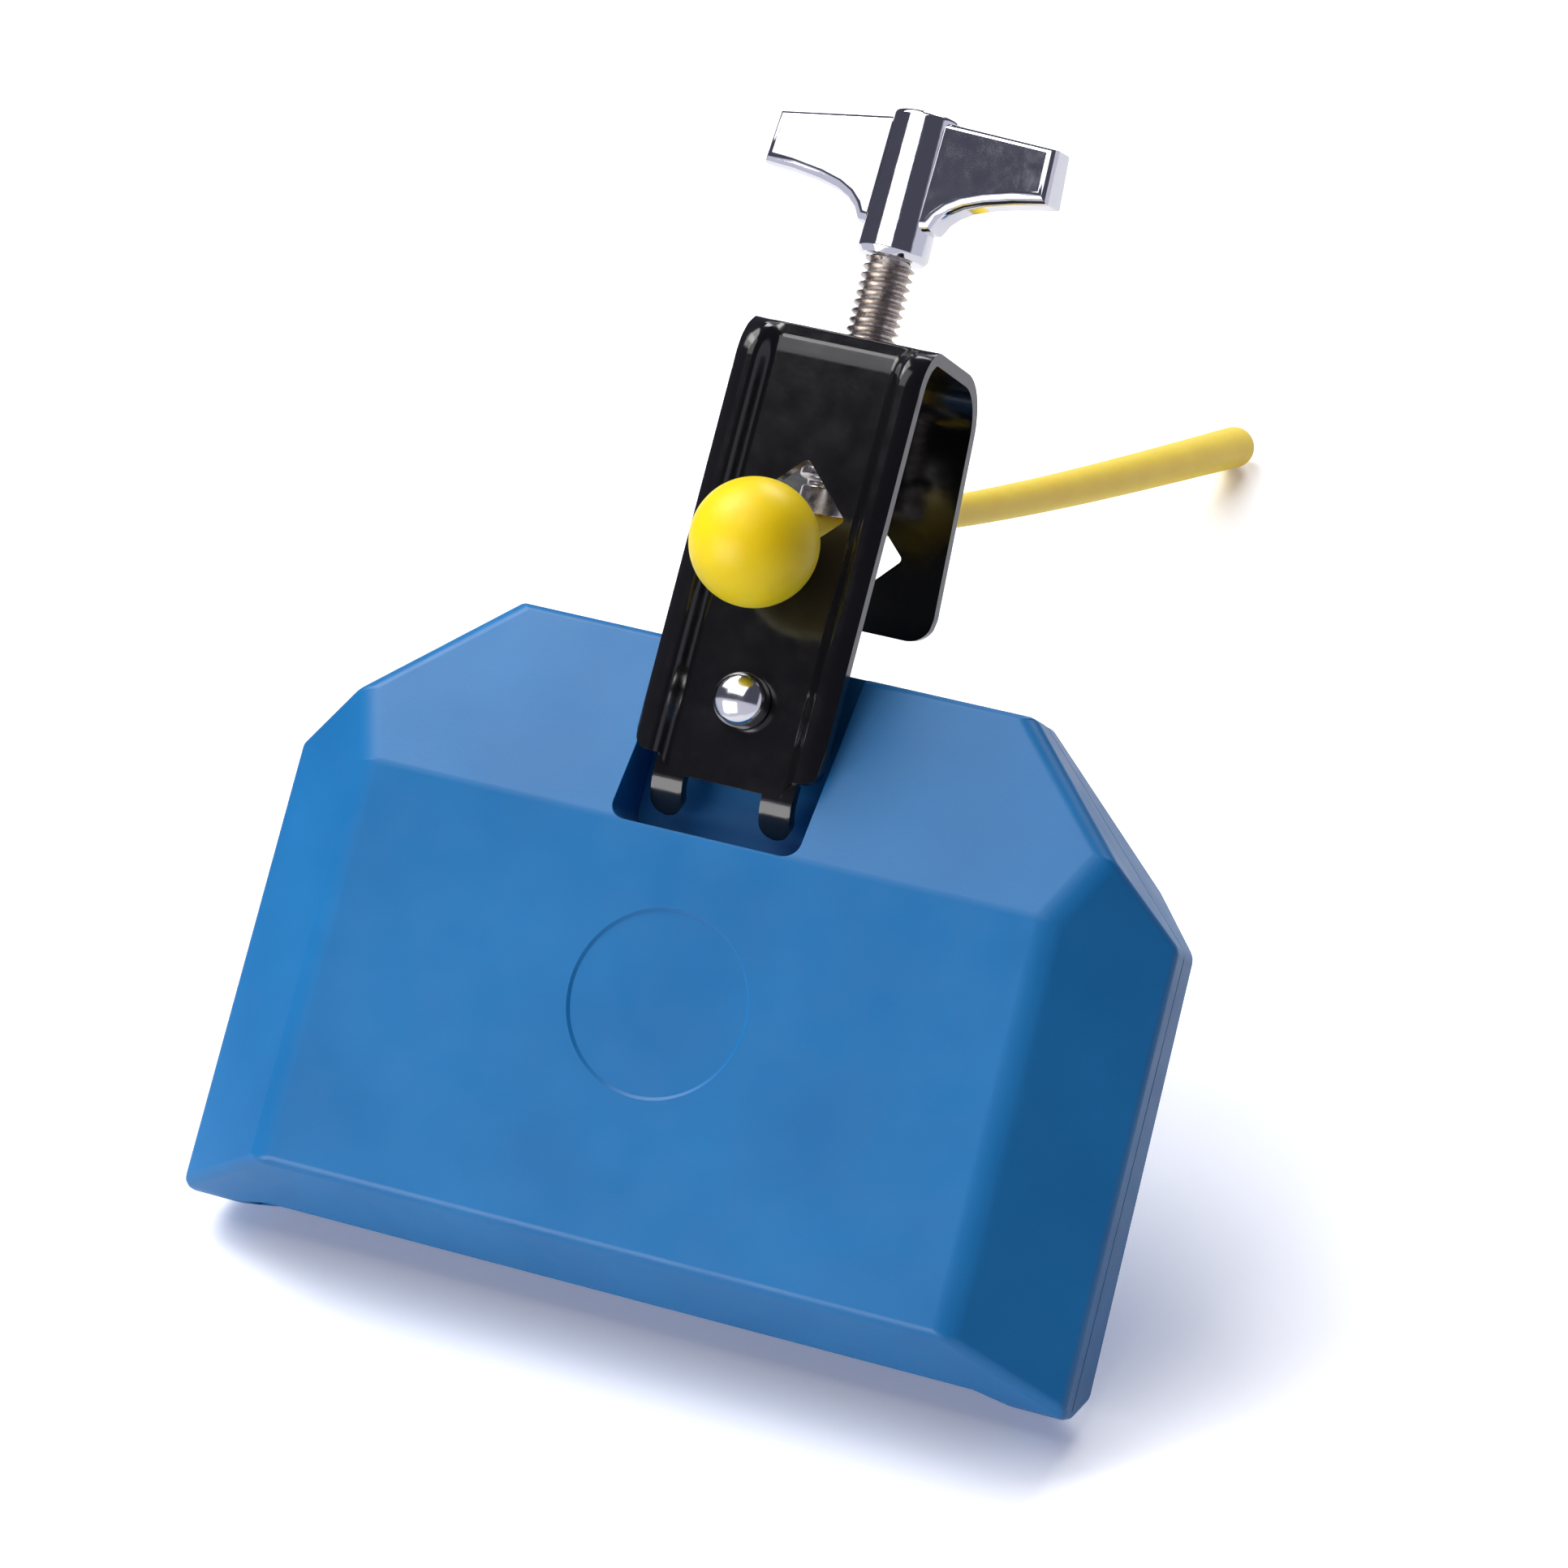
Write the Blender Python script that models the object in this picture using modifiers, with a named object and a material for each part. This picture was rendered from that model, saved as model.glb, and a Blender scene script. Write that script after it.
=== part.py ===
# Jam block: a hollow moulded block on a pressed steel clamp, with its mallet.
# Metres, +Z up along the clamp screw, the striking face toward -Y.
# The origin is the middle of the clamp's rod windows.
# Sizes below are in millimetres, and heights are measured up from the
# lower edge of the block, so that they can be compared with the photo.

import math

import bmesh
import bpy
from mathutils import Matrix
from mathutils import Vector

# Clearances
MM = 0.001
GAP = 0.3
SHELL_JOIN = 0.15

# Block form
FACE_Y = 16.5
FACE_TOP_X = 55.8
FACE_TOP_H = 69.9
FACE_LOW_X = 57.1
FACE_LOW_H = 7.1
CROWN_X = 42.3
CROWN_Y = 6.4
CROWN_H = 99.3
SHOULDER_X = 72.1
SHOULDER_Y = 3.9
SHOULDER_H = 70.8
FOOT_X = 72.6
FOOT_Y = 3.8
KEEL_Y = 2.2
WALL = 3.2

# The rear half is deeper at its outer walls
REAR_SHOULDER_Y = 5.8
REAR_FOOT_Y = 8.2

# Roundings of the moulding
SIDE_ROUND = 2.8
BROW_ROUND = 0.8
OUTER_ROUND = 1.2
FOOT_ROUND = 1.8
FORM_ROUND = 1.5

# Slot mouth and the shallow recess along the lower edge
MOUTH_X = 62.0
MOUTH_Y = 3.0
RECESS_RISE = 1.0
RECESS_STEP_OUT = 64.0
RECESS_STEP_IN = 58.5

# Badge ring, left bare
RING_H = 44.3
RING_R = 14.4
RING_LINE = 0.8
RING_PROUD = 0.35
RING_ROOT = 1.0

# Clamp strap, with its heights above and below the windows' middle
ROD_RISE = 22.2
STRAP_X = 15.0
STRAP_FRONT_Y = 15.84
STRAP_SHEET = 2.0
STRAP_RISE = 27.7
PANEL_X = 9.1
CREST_X = 12.1
PANEL_DEEP = 2.84
EDGE_DROP = 1.3
FRONT_BEND = 7.0
REAR_BEND = 10.0
REAR_SPLAY = 10.1
REAR_DROP = 12.4
REAR_CORNER = 4.0
REAR_TOP_Y = 15.06
WINDOW = 8.15
WINDOW_CORNER = 0.7
LUG_X = 8.85
LUG_HALF = 2.5
LUG_LEAN = 42.0
LUG_BEND = 4.2
LUG_LONG = 7.2
LUG_ROOT = 2.5

# Pocket for the strap, and the boss its bolt goes through
POCKET_FLOOR_Y = 4.5
POCKET_CORNER = 2.5
POCKET_SKIN = 3.2
POCKET_FLOOR = 2.0
BOSS_R = 6.5
BOSS_DRAFT = 0.5
BOLT_DROP = 8.0
PANEL_BELOW_BOLT = 12.8
MARGIN_BELOW_BOLT = 10.4
BOLT_R = 2.0
BOLT_HEAD_R = 4.2
BOLT_HEAD_SIDE = 1.9
BOLT_HEAD_DOME = 3.0
BOLT_END_Y = 4.4
BOLT_POINT = 0.5
WASHER_R = 4.2
WASHER_TALL = 0.8
SPRING_R = 3.8
SPRING_TALL = 1.0
SMALL_NUT_FLATS = 7.0
SMALL_NUT_TALL = 3.2

# Clamp screw, nut, shoe and handle
THREAD_R = 3.97
THREAD_POINT = 0.6
THREAD_SHOWS = 15.0
TIP_RISE = 8.4
POINT_LONG = 2.5
SPIGOT_R = 2.7
SPIGOT_DEEP = 11.8
NUT_FLATS = 12.7
NUT_TALL = 6.5
SHOE_R = 4.5
SHOE_ROUND = 0.7
HANDLE_YAW = -12.6
HANDLE_TALL = 21.6
HANDLE_BOSS_R = 4.85
HANDLE_CROWN = 1.6
HANDLE_RIM_R = 5.5
HANDLE_RIM_TALL = 2.6
WING_TIP_X = 27.1
WING_TIP_DROP = 2.6
WING_TIP_TALL = 8.3
WING_TIP_LEAN = 0.9
WING_ROOT_TALL = 15.9
WING_ROOT_X = 7.0
WING_ROOT_Y = 4.2
WING_TIP_Y = 2.9
WING_ROUND = 1.5

# Mallet
MALLET_LEAN = 15.35
MALLET_DROP = 0.8
BALL_FRONT = 26.1
BALL_R = 9.75
STICK_R = 2.03
STICK_TAPER = 0.00727
STICK_LONG = 231.5
SOCKET_DEEP = 3.0
SEAT_ROOM = 0.33

# Heights and places that follow from the sizes above
ROD_HEIGHT = CROWN_H + ROD_RISE
STRAP_TOP_H = ROD_HEIGHT + STRAP_RISE
REAR_LOW_H = ROD_HEIGHT - REAR_DROP
BOLT_H = CROWN_H - BOLT_DROP
PANEL_LOW_H = BOLT_H - PANEL_BELOW_BOLT
MARGIN_LOW_H = BOLT_H - MARGIN_BELOW_BOLT
PANEL_Y = -STRAP_FRONT_Y + PANEL_DEEP
POCKET_X = STRAP_X + GAP
SCREW_LOW_H = ROD_HEIGHT + TIP_RISE
POINT_LOW_H = SCREW_LOW_H - POINT_LONG
SHOE_TOP_H = SCREW_LOW_H - GAP
BOSS_LOW_H = STRAP_TOP_H + THREAD_SHOWS
SPIGOT_TOP_H = BOSS_LOW_H + SPIGOT_DEEP
HANDLE_TOP_H = BOSS_LOW_H + HANDLE_TALL
MALLET_MID_H = ROD_HEIGHT - MALLET_DROP
MALLET_RISE = math.tan(math.radians(MALLET_LEAN))


def up(height):
    """Height over the block's lower edge to scene Z, in metres."""
    return (height - ROD_HEIGHT) * MM


def spot(x, y, height):
    """Millimetres and a height to a point in the frame."""
    return Vector((x * MM, y * MM, up(height)))


def clear_scene():
    for item in list(bpy.data.objects):
        bpy.data.objects.remove(item, do_unlink=True)


def make_collection(name, hidden):
    group = bpy.data.collections.new(name)
    bpy.context.scene.collection.children.link(group)
    group.hide_render = hidden
    return group


def make_material(name, colour, metallic, roughness):
    made = bpy.data.materials.new(name)
    made.use_nodes = True
    shader = made.node_tree.nodes["Principled BSDF"]
    shader.inputs["Base Color"].default_value = (*colour, 1.0)
    shader.inputs["Metallic"].default_value = metallic
    shader.inputs["Roughness"].default_value = roughness
    made.diffuse_color = (*colour, 1.0)
    return made


def add_part(name, shape, material, origin=None):
    """Turn a bmesh into a named part, with its origin where it is asked for."""
    centre = origin if origin is not None else Vector((0.0, 0.0, 0.0))
    bmesh.ops.translate(shape, verts=shape.verts, vec=-centre)
    bmesh.ops.recalc_face_normals(shape, faces=shape.faces)
    mesh = bpy.data.meshes.new(name)
    shape.to_mesh(mesh)
    shape.free()
    made = bpy.data.objects.new(name, mesh)
    made.location = centre
    mesh.materials.append(material)
    PARTS.objects.link(made)
    return made


def add_cutter(name, shape):
    """Turn a bmesh into a hidden helper for the booleans."""
    bmesh.ops.recalc_face_normals(shape, faces=shape.faces)
    mesh = bpy.data.meshes.new(name)
    shape.to_mesh(mesh)
    shape.free()
    made = bpy.data.objects.new(name, mesh)
    made.hide_render = True
    made.display_type = "WIRE"
    CUTTERS.objects.link(made)
    return made


def combine(target, helper, operation):
    step = target.modifiers.new(helper.name, "BOOLEAN")
    step.operation = operation
    step.solver = "EXACT"
    step.object = helper
    return step


def soften(target, width, segments, angle=30.0):
    step = target.modifiers.new("soften", "BEVEL")
    step.width = width * MM
    step.segments = segments
    step.limit_method = "ANGLE"
    step.angle_limit = math.radians(angle)
    step.use_clamp_overlap = True
    return step


def box_shape(low, high):
    """A box between two corners, in metres."""
    shape = bmesh.new()
    middle = (low + high) / 2.0
    size = high - low
    turn = Matrix.Translation(middle) @ Matrix.Diagonal((*size, 1.0))
    bmesh.ops.create_cube(shape, size=1.0, matrix=turn)
    return shape


def round_shape(start, end, start_r, end_r, segments):
    """A cylinder or cone between two points, radii in millimetres."""
    shape = bmesh.new()
    along = end - start
    turn = along.to_track_quat("Z", "Y").to_matrix().to_4x4()
    place = Matrix.Translation((start + end) / 2.0) @ turn
    bmesh.ops.create_cone(
        shape,
        cap_ends=True,
        segments=segments,
        radius1=start_r * MM,
        radius2=end_r * MM,
        depth=along.length,
        matrix=place,
    )
    return shape


def turned_shape(rings, segments):
    """A solid of revolution about Z from (radius, height) pairs in millimetres."""
    shape = bmesh.new()
    edges = []
    last = None
    for radius, height in rings:
        point = shape.verts.new((radius * MM, 0.0, height * MM))
        if last is not None:
            edges.append(shape.edges.new((last, point)))
        last = point
    bmesh.ops.spin(
        shape,
        geom=list(shape.verts) + edges,
        cent=(0.0, 0.0, 0.0),
        axis=(0.0, 0.0, 1.0),
        angle=math.tau,
        steps=segments,
        use_duplicate=False,
    )
    bmesh.ops.remove_doubles(shape, verts=shape.verts, dist=0.00001)
    open_edges = [edge for edge in shape.edges if len(edge.link_faces) == 1]
    if open_edges:
        bmesh.ops.holes_fill(shape, edges=open_edges, sides=0)
    return shape


def rounded_outline(corners, radii, steps):
    """Corner points with each corner replaced by an arc of its own radius."""
    outline = []
    count = len(corners)
    for index in range(count):
        here = Vector(corners[index])
        before = (Vector(corners[index - 1]) - here).normalized()
        after = (Vector(corners[(index + 1) % count]) - here).normalized()
        radius = radii[index]
        if radius <= 0.0:
            outline.append(here)
            continue
        half = before.angle(after) / 2.0
        reach = radius / math.tan(half)
        centre = here + (before + after).normalized() * radius / math.sin(half)
        first = here + before * reach - centre
        final = here + after * reach - centre
        sweep = first.angle_signed(final)
        for step in range(steps + 1):
            turn = -sweep * step / steps
            arm = Vector(
                (
                    first.x * math.cos(turn) - first.y * math.sin(turn),
                    first.x * math.sin(turn) + first.y * math.cos(turn),
                )
            )
            outline.append(centre + arm)
    return outline


def slab_along_y(outline, near, far):
    """An XZ outline in millimetres and heights, carried from one Y to another."""
    shape = bmesh.new()
    points = [shape.verts.new(spot(x, near, height)) for x, height in outline]
    face = shape.faces.new(points)
    grown = bmesh.ops.extrude_face_region(shape, geom=[face])
    moved = [item for item in grown["geom"] if isinstance(item, bmesh.types.BMVert)]
    bmesh.ops.translate(shape, verts=moved, vec=(0.0, (far - near) * MM, 0.0))
    return shape


def block_planes(shoulder_y, foot_y):
    """Names, points and outward normals of the block's right front quarter."""
    face_top = Vector((FACE_TOP_X, -FACE_Y, FACE_TOP_H))
    face_low = Vector((FACE_LOW_X, -FACE_Y, FACE_LOW_H))
    shoulder = Vector((SHOULDER_X, -shoulder_y, SHOULDER_H))
    foot = Vector((FOOT_X, -foot_y, FACE_LOW_H))
    crown = Vector((CROWN_X, -CROWN_Y, CROWN_H))
    slope = Vector((0.0, FACE_TOP_H - CROWN_H, FACE_Y - CROWN_Y))
    side = (foot - face_top).cross(shoulder - face_top)
    corner = Vector((CROWN_H - SHOULDER_H, 0.0, SHOULDER_X - CROWN_X))
    outer = Vector((SHOULDER_H - FACE_LOW_H, 0.0, FOOT_X - SHOULDER_X))
    lip = Vector((0.0, -FACE_LOW_H, KEEL_Y - FACE_Y))
    return [
        ("face", face_top, Vector((0.0, -1.0, 0.0))),
        ("slope", face_top, slope.normalized()),
        ("side", face_top, side.normalized()),
        ("corner", crown, corner.normalized()),
        ("outer", shoulder, outer.normalized()),
        ("lip", face_low, lip.normalized()),
        ("top", crown, Vector((0.0, 0.0, 1.0))),
        ("keel", Vector((0.0, 0.0, 0.0)), Vector((0.0, 0.0, -1.0))),
    ]


def trim(shape, point, normal):
    """Cut away what lies beyond a plane, and close the cut."""
    place = spot(*point)
    everything = list(shape.verts) + list(shape.edges) + list(shape.faces)
    bmesh.ops.bisect_plane(
        shape,
        geom=everything,
        dist=0.000001,
        plane_co=place,
        plane_no=normal,
        clear_outer=True,
    )
    rim = [edge for edge in shape.edges if len(edge.link_faces) == 1]
    if rim:
        bmesh.ops.holes_fill(shape, edges=rim, sides=0)


def block_shape(shoulder_y, foot_y, inset):
    """The whole block as a convex solid, its walls moved in by inset."""
    half_x = FOOT_X * 2.0
    half_y = FACE_Y * 2.0
    shape = box_shape(spot(-half_x, -half_y, -CROWN_H), spot(half_x, half_y, 2.0 * CROWN_H))
    for name, point, outward in block_planes(shoulder_y, foot_y):
        moved = point - outward * inset
        for flip_x in (1.0, -1.0):
            for flip_y in (1.0, -1.0):
                repeated_x = flip_x < 0.0 and abs(outward.x) < 0.001
                repeated_y = flip_y < 0.0 and abs(outward.y) < 0.001
                if repeated_x or repeated_y:
                    continue
                place = Vector((moved.x * flip_x, moved.y * flip_y, moved.z))
                trim(shape, place, Vector((outward.x * flip_x, outward.y * flip_y, outward.z)))
    return shape


def front_half(shape, back):
    """Keep what lies in front of a plane across Y."""
    trim(shape, Vector((0.0, back, CROWN_H / 2.0)), Vector((0.0, 1.0, 0.0)))
    return shape


def plane_name(face, planes):
    """Which of the block's planes a face belongs to, on any quarter."""
    turned = Vector((abs(face.normal.x), -abs(face.normal.y), face.normal.z))
    return max(planes, key=lambda plane: plane[2].dot(turned))[0]


def edge_round(names):
    """How softly the moulding turns between two of its planes."""
    if names == {"face", "slope"}:
        return BROW_ROUND
    if names in ({"face", "side"}, {"slope", "side"}, {"slope", "corner"}):
        return SIDE_ROUND
    if names in ({"outer", "keel"}, {"outer", "lip"}, {"side", "lip"}):
        return FOOT_ROUND
    if "outer" in names or "corner" in names:
        return OUTER_ROUND
    return FORM_ROUND


def soften_block(target, planes):
    """Weigh each edge of the whole form, and bevel it by its weight."""
    shape = bmesh.new()
    shape.from_mesh(target.data)
    weight = shape.edges.layers.float.new("bevel_weight_edge")
    widest = max(SIDE_ROUND, BROW_ROUND, OUTER_ROUND, FOOT_ROUND, FORM_ROUND)
    for edge in shape.edges:
        names = {plane_name(face, planes) for face in edge.link_faces}
        edge[weight] = edge_round(names) / widest
    shape.to_mesh(target.data)
    shape.free()
    step = target.modifiers.new("soften", "BEVEL")
    step.width = widest * MM
    step.segments = 3
    step.limit_method = "WEIGHT"
    step.use_clamp_overlap = True


def turn_to_rear(shape):
    """Half a turn about Z, so the front shape serves for the rear."""
    half = Matrix.Rotation(math.pi, 3, "Z")
    bmesh.ops.rotate(shape, verts=shape.verts, matrix=half)


def mouth_outline():
    """The slot's outline, from below the lower edge up into the hollow."""
    high = WALL * 2.0 + RECESS_RISE
    return [
        (-MOUTH_X, high),
        (MOUTH_X, high),
        (MOUTH_X, -WALL),
        (-MOUTH_X, -WALL),
    ]


def recess_outline():
    """A shallow recess along the lower edge, which leaves a foot at each end."""
    return [
        (-RECESS_STEP_OUT, 0.0),
        (-RECESS_STEP_IN, RECESS_RISE),
        (RECESS_STEP_IN, RECESS_RISE),
        (RECESS_STEP_OUT, 0.0),
        (RECESS_STEP_OUT, -WALL),
        (-RECESS_STEP_OUT, -WALL),
    ]


def make_block():
    blue = make_material("blue_plastic", (0.035, 0.2, 0.5), 0.0, 0.38)

    front = block_shape(SHOULDER_Y, FOOT_Y, 0.0)
    rear = block_shape(REAR_SHOULDER_Y, REAR_FOOT_Y, 0.0)
    turn_to_rear(rear)
    front_shell = add_part("front_shell", front, blue)
    rear_shell = add_part("rear_shell", rear, blue)
    soften_block(front_shell, block_planes(SHOULDER_Y, FOOT_Y))
    soften_block(rear_shell, block_planes(REAR_SHOULDER_Y, REAR_FOOT_Y))
    far = FOOT_X * 2.0
    low = spot(-far, -SHELL_JOIN, -far)
    rear_space = add_cutter("rear_space", box_shape(low, spot(far, far, far)))
    low = spot(-far, -far, -far)
    front_space = add_cutter("front_space", box_shape(low, spot(far, SHELL_JOIN, far)))
    combine(front_shell, rear_space, "DIFFERENCE")
    combine(rear_shell, front_space, "DIFFERENCE")

    room = front_half(block_shape(SHOULDER_Y, FOOT_Y, WALL), MOUTH_Y)
    front_room = add_cutter("front_room", room)
    room = front_half(block_shape(REAR_SHOULDER_Y, REAR_FOOT_Y, WALL), MOUTH_Y)
    turn_to_rear(room)
    rear_room = add_cutter("rear_room", room)
    guard_low = spot(-POCKET_X - POCKET_SKIN, -FACE_Y * 2.0, FACE_TOP_H - POCKET_SKIN)
    guard_high = spot(
        POCKET_X + POCKET_SKIN,
        -POCKET_FLOOR_Y + POCKET_FLOOR,
        CROWN_H * 2.0,
    )
    guard = add_cutter("pocket_guard", box_shape(guard_low, guard_high))
    combine(front_room, guard, "DIFFERENCE")

    corners = [
        (-POCKET_X, CROWN_H * 1.5),
        (-POCKET_X, FACE_TOP_H),
        (POCKET_X, FACE_TOP_H),
        (POCKET_X, CROWN_H * 1.5),
    ]
    outline = rounded_outline(corners, [0.0, POCKET_CORNER, POCKET_CORNER, 0.0], 4)
    pocket = add_cutter("pocket", slab_along_y(outline, -FACE_Y * 2.0, -POCKET_FLOOR_Y))

    mouth = add_cutter("mouth", slab_along_y(mouth_outline(), -MOUTH_Y, MOUTH_Y))
    across = FACE_Y * 2.0
    recess = add_cutter("lower_recess", slab_along_y(recess_outline(), -across, across))

    ring_low = spot(0.0, -FACE_Y - RING_PROUD, RING_H)
    ring_high = spot(0.0, -FACE_Y + RING_ROOT, RING_H)
    ring = add_cutter("ring", round_shape(ring_low, ring_high, RING_R, RING_R, 64))
    bore_low = spot(0.0, -FACE_Y * 2.0, RING_H)
    bore_high = spot(0.0, -FACE_Y, RING_H)
    bore_r = RING_R - RING_LINE
    ring_bore = add_cutter("ring_bore", round_shape(bore_low, bore_high, bore_r, bore_r, 64))
    combine(ring, ring_bore, "DIFFERENCE")

    boss_low = spot(0.0, PANEL_Y + STRAP_SHEET + GAP, BOLT_H)
    boss_high = spot(0.0, -POCKET_FLOOR_Y + POCKET_FLOOR / 2.0, BOLT_H)
    boss = add_cutter("bolt_boss", round_shape(boss_low, boss_high, BOSS_R - BOSS_DRAFT, BOSS_R, 32))
    drill_r = BOLT_R + GAP
    drill_end = spot(0.0, 0.0, BOLT_H)
    drill = round_shape(spot(0.0, -FACE_Y * 2.0, BOLT_H), drill_end, drill_r, drill_r, 24)
    bolt_hole = add_cutter("bolt_hole", drill)

    combine(front_shell, front_room, "DIFFERENCE")
    combine(front_shell, pocket, "DIFFERENCE")
    combine(front_shell, boss, "UNION")
    combine(front_shell, bolt_hole, "DIFFERENCE")
    combine(front_shell, mouth, "DIFFERENCE")
    combine(front_shell, recess, "DIFFERENCE")
    combine(front_shell, ring, "UNION")

    combine(rear_shell, rear_room, "DIFFERENCE")
    combine(rear_shell, mouth, "DIFFERENCE")
    combine(rear_shell, recess, "DIFFERENCE")
    return bolt_hole


def strap_stations():
    """Stations down the front leg, over the top and down the rear leg.

    Each is (point on the outer surface, inward unit, recess share), in a YZ
    plane, millimetres and heights, starting at the front leg's lower end.
    """
    forward = Vector((1.0, 0.0))
    stations = [(Vector((-STRAP_FRONT_Y, MARGIN_LOW_H)), forward, 1.0)]
    bend_h = STRAP_TOP_H - FRONT_BEND
    centre = Vector((-STRAP_FRONT_Y + FRONT_BEND, bend_h))
    steps = 9
    for step in range(steps + 1):
        angle = math.radians(90.0) * step / steps
        arm = Vector((-math.cos(angle), math.sin(angle)))
        share = 1.0 - min(1.0, max(0.0, (math.degrees(angle) - 18.0) / 54.0))
        share = share * share * (3.0 - 2.0 * share)
        stations.append((centre + arm * FRONT_BEND, -arm, share))
    splay = math.radians(REAR_SPLAY)
    outward = Vector((math.cos(splay), math.sin(splay)))
    centre_h = STRAP_TOP_H - REAR_BEND
    centre = Vector((REAR_TOP_Y - REAR_BEND / math.cos(splay), centre_h))
    steps = 8
    for step in range(steps + 1):
        angle = math.radians(90.0) - (math.radians(90.0) - splay) * step / steps
        arm = Vector((math.cos(angle), math.sin(angle)))
        stations.append((centre + arm * REAR_BEND, -arm, 0.0))
    drop = centre_h - REAR_LOW_H
    low = Vector((REAR_TOP_Y + drop * math.tan(splay), REAR_LOW_H))
    stations.append((low, -outward, 0.0))
    return stations


def strap_depth(x):
    """How far the pressing sits behind the strap's outer surface across its width."""
    side = abs(x)
    if side <= PANEL_X:
        return PANEL_DEEP
    if side <= CREST_X:
        turn = (side - PANEL_X) / (CREST_X - PANEL_X)
        return PANEL_DEEP * 0.5 * (1.0 + math.cos(math.pi * turn))
    return EDGE_DROP * ((side - CREST_X) / (STRAP_X - CREST_X)) ** 2


def strap_columns():
    """Positions across the strap, close together where the pressing curves."""
    half = [0.0, PANEL_X / 2.0, PANEL_X]
    half += [PANEL_X + (CREST_X - PANEL_X) * step / 5.0 for step in range(1, 6)]
    half += [CREST_X + (STRAP_X - CREST_X) * step / 4.0 for step in range(1, 5)]
    return [-x for x in reversed(half[1:])] + half


def lay_sheet(columns, rows, place, thickness):
    """A grid laid by place(column, row), then thickened along its inward unit."""
    shape = bmesh.new()
    bmesh.ops.create_grid(
        shape,
        x_segments=columns - 1,
        y_segments=rows - 1,
        size=1.0,
    )
    inward = {}
    for point in shape.verts:
        column = round((point.co.x + 1.0) / 2.0 * (columns - 1))
        row = round((point.co.y + 1.0) / 2.0 * (rows - 1))
        outer, unit = place(column, row)
        point.co = outer
        inward[point.index] = unit
    moves = {}
    for point in shape.verts:
        moves[tuple(round(value, 9) for value in point.co)] = inward[point.index]
    grown = bmesh.ops.extrude_face_region(shape, geom=list(shape.faces))
    for item in grown["geom"]:
        if isinstance(item, bmesh.types.BMVert):
            unit = moves[tuple(round(value, 9) for value in item.co)]
            item.co = item.co + unit * thickness * MM
    return shape


def strap_shape():
    stations = strap_stations()
    columns = strap_columns()
    last = len(stations) - 1

    def place(column, row):
        x = columns[column]
        point, inward, share = stations[row]
        side = abs(x)
        depth = share * strap_depth(x)
        outer = point + inward * depth
        if row == 0:
            height = MARGIN_LOW_H
            if side <= PANEL_X:
                height = PANEL_LOW_H
            elif side < CREST_X:
                turn = (side - PANEL_X) / (CREST_X - PANEL_X)
                height = PANEL_LOW_H + (MARGIN_LOW_H - PANEL_LOW_H) * min(1.0, 2.0 * turn)
            else:
                reach = side - CREST_X
                corner = STRAP_X - CREST_X
                height = MARGIN_LOW_H + corner - math.sqrt(max(0.0, corner**2 - reach**2))
            outer = Vector((outer.x, height))
        if row == last and side > STRAP_X - REAR_CORNER:
            reach = side - (STRAP_X - REAR_CORNER)
            rise = REAR_CORNER - math.sqrt(max(0.0, REAR_CORNER**2 - reach**2))
            along = Vector((inward.y, -inward.x))
            if along.y < 0.0:
                along = -along
            outer = outer + along * rise
        return spot(x, outer.x, outer.y), Vector((0.0, inward.x, inward.y))

    return lay_sheet(len(columns), len(stations), place, STRAP_SHEET)


def lug_path():
    """The lug's stations: a point on its outer surface, its lean and its width.

    It hangs from the panel, bends back into the pocket and ends round.
    """
    path = [(Vector((PANEL_Y, PANEL_LOW_H + LUG_ROOT)), 0.0, 1.0)]
    point = Vector((PANEL_Y, PANEL_LOW_H))
    steps = 9
    for step in range(steps + 1):
        run = LUG_LONG * step / steps
        lean = math.radians(LUG_LEAN) * min(1.0, run / LUG_BEND)
        left = LUG_LONG - run
        share = 1.0
        if left < LUG_HALF:
            share = math.sqrt(1.0 - (1.0 - left / LUG_HALF) ** 2)
        path.append((point.copy(), lean, max(share, 0.25)))
        point += Vector((math.sin(lean), -math.cos(lean))) * LUG_LONG / steps
    return path


def lug_shape(side):
    path = lug_path()
    across = [-1.0, -0.5, 0.0, 0.5, 1.0]

    def place(column, row):
        point, lean, share = path[row]
        x = side * LUG_X + across[column] * LUG_HALF * share
        inward = Vector((0.0, math.cos(lean), math.sin(lean)))
        return spot(x, point.x, point.y), inward

    return lay_sheet(len(across), len(path), place, STRAP_SHEET)


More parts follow.
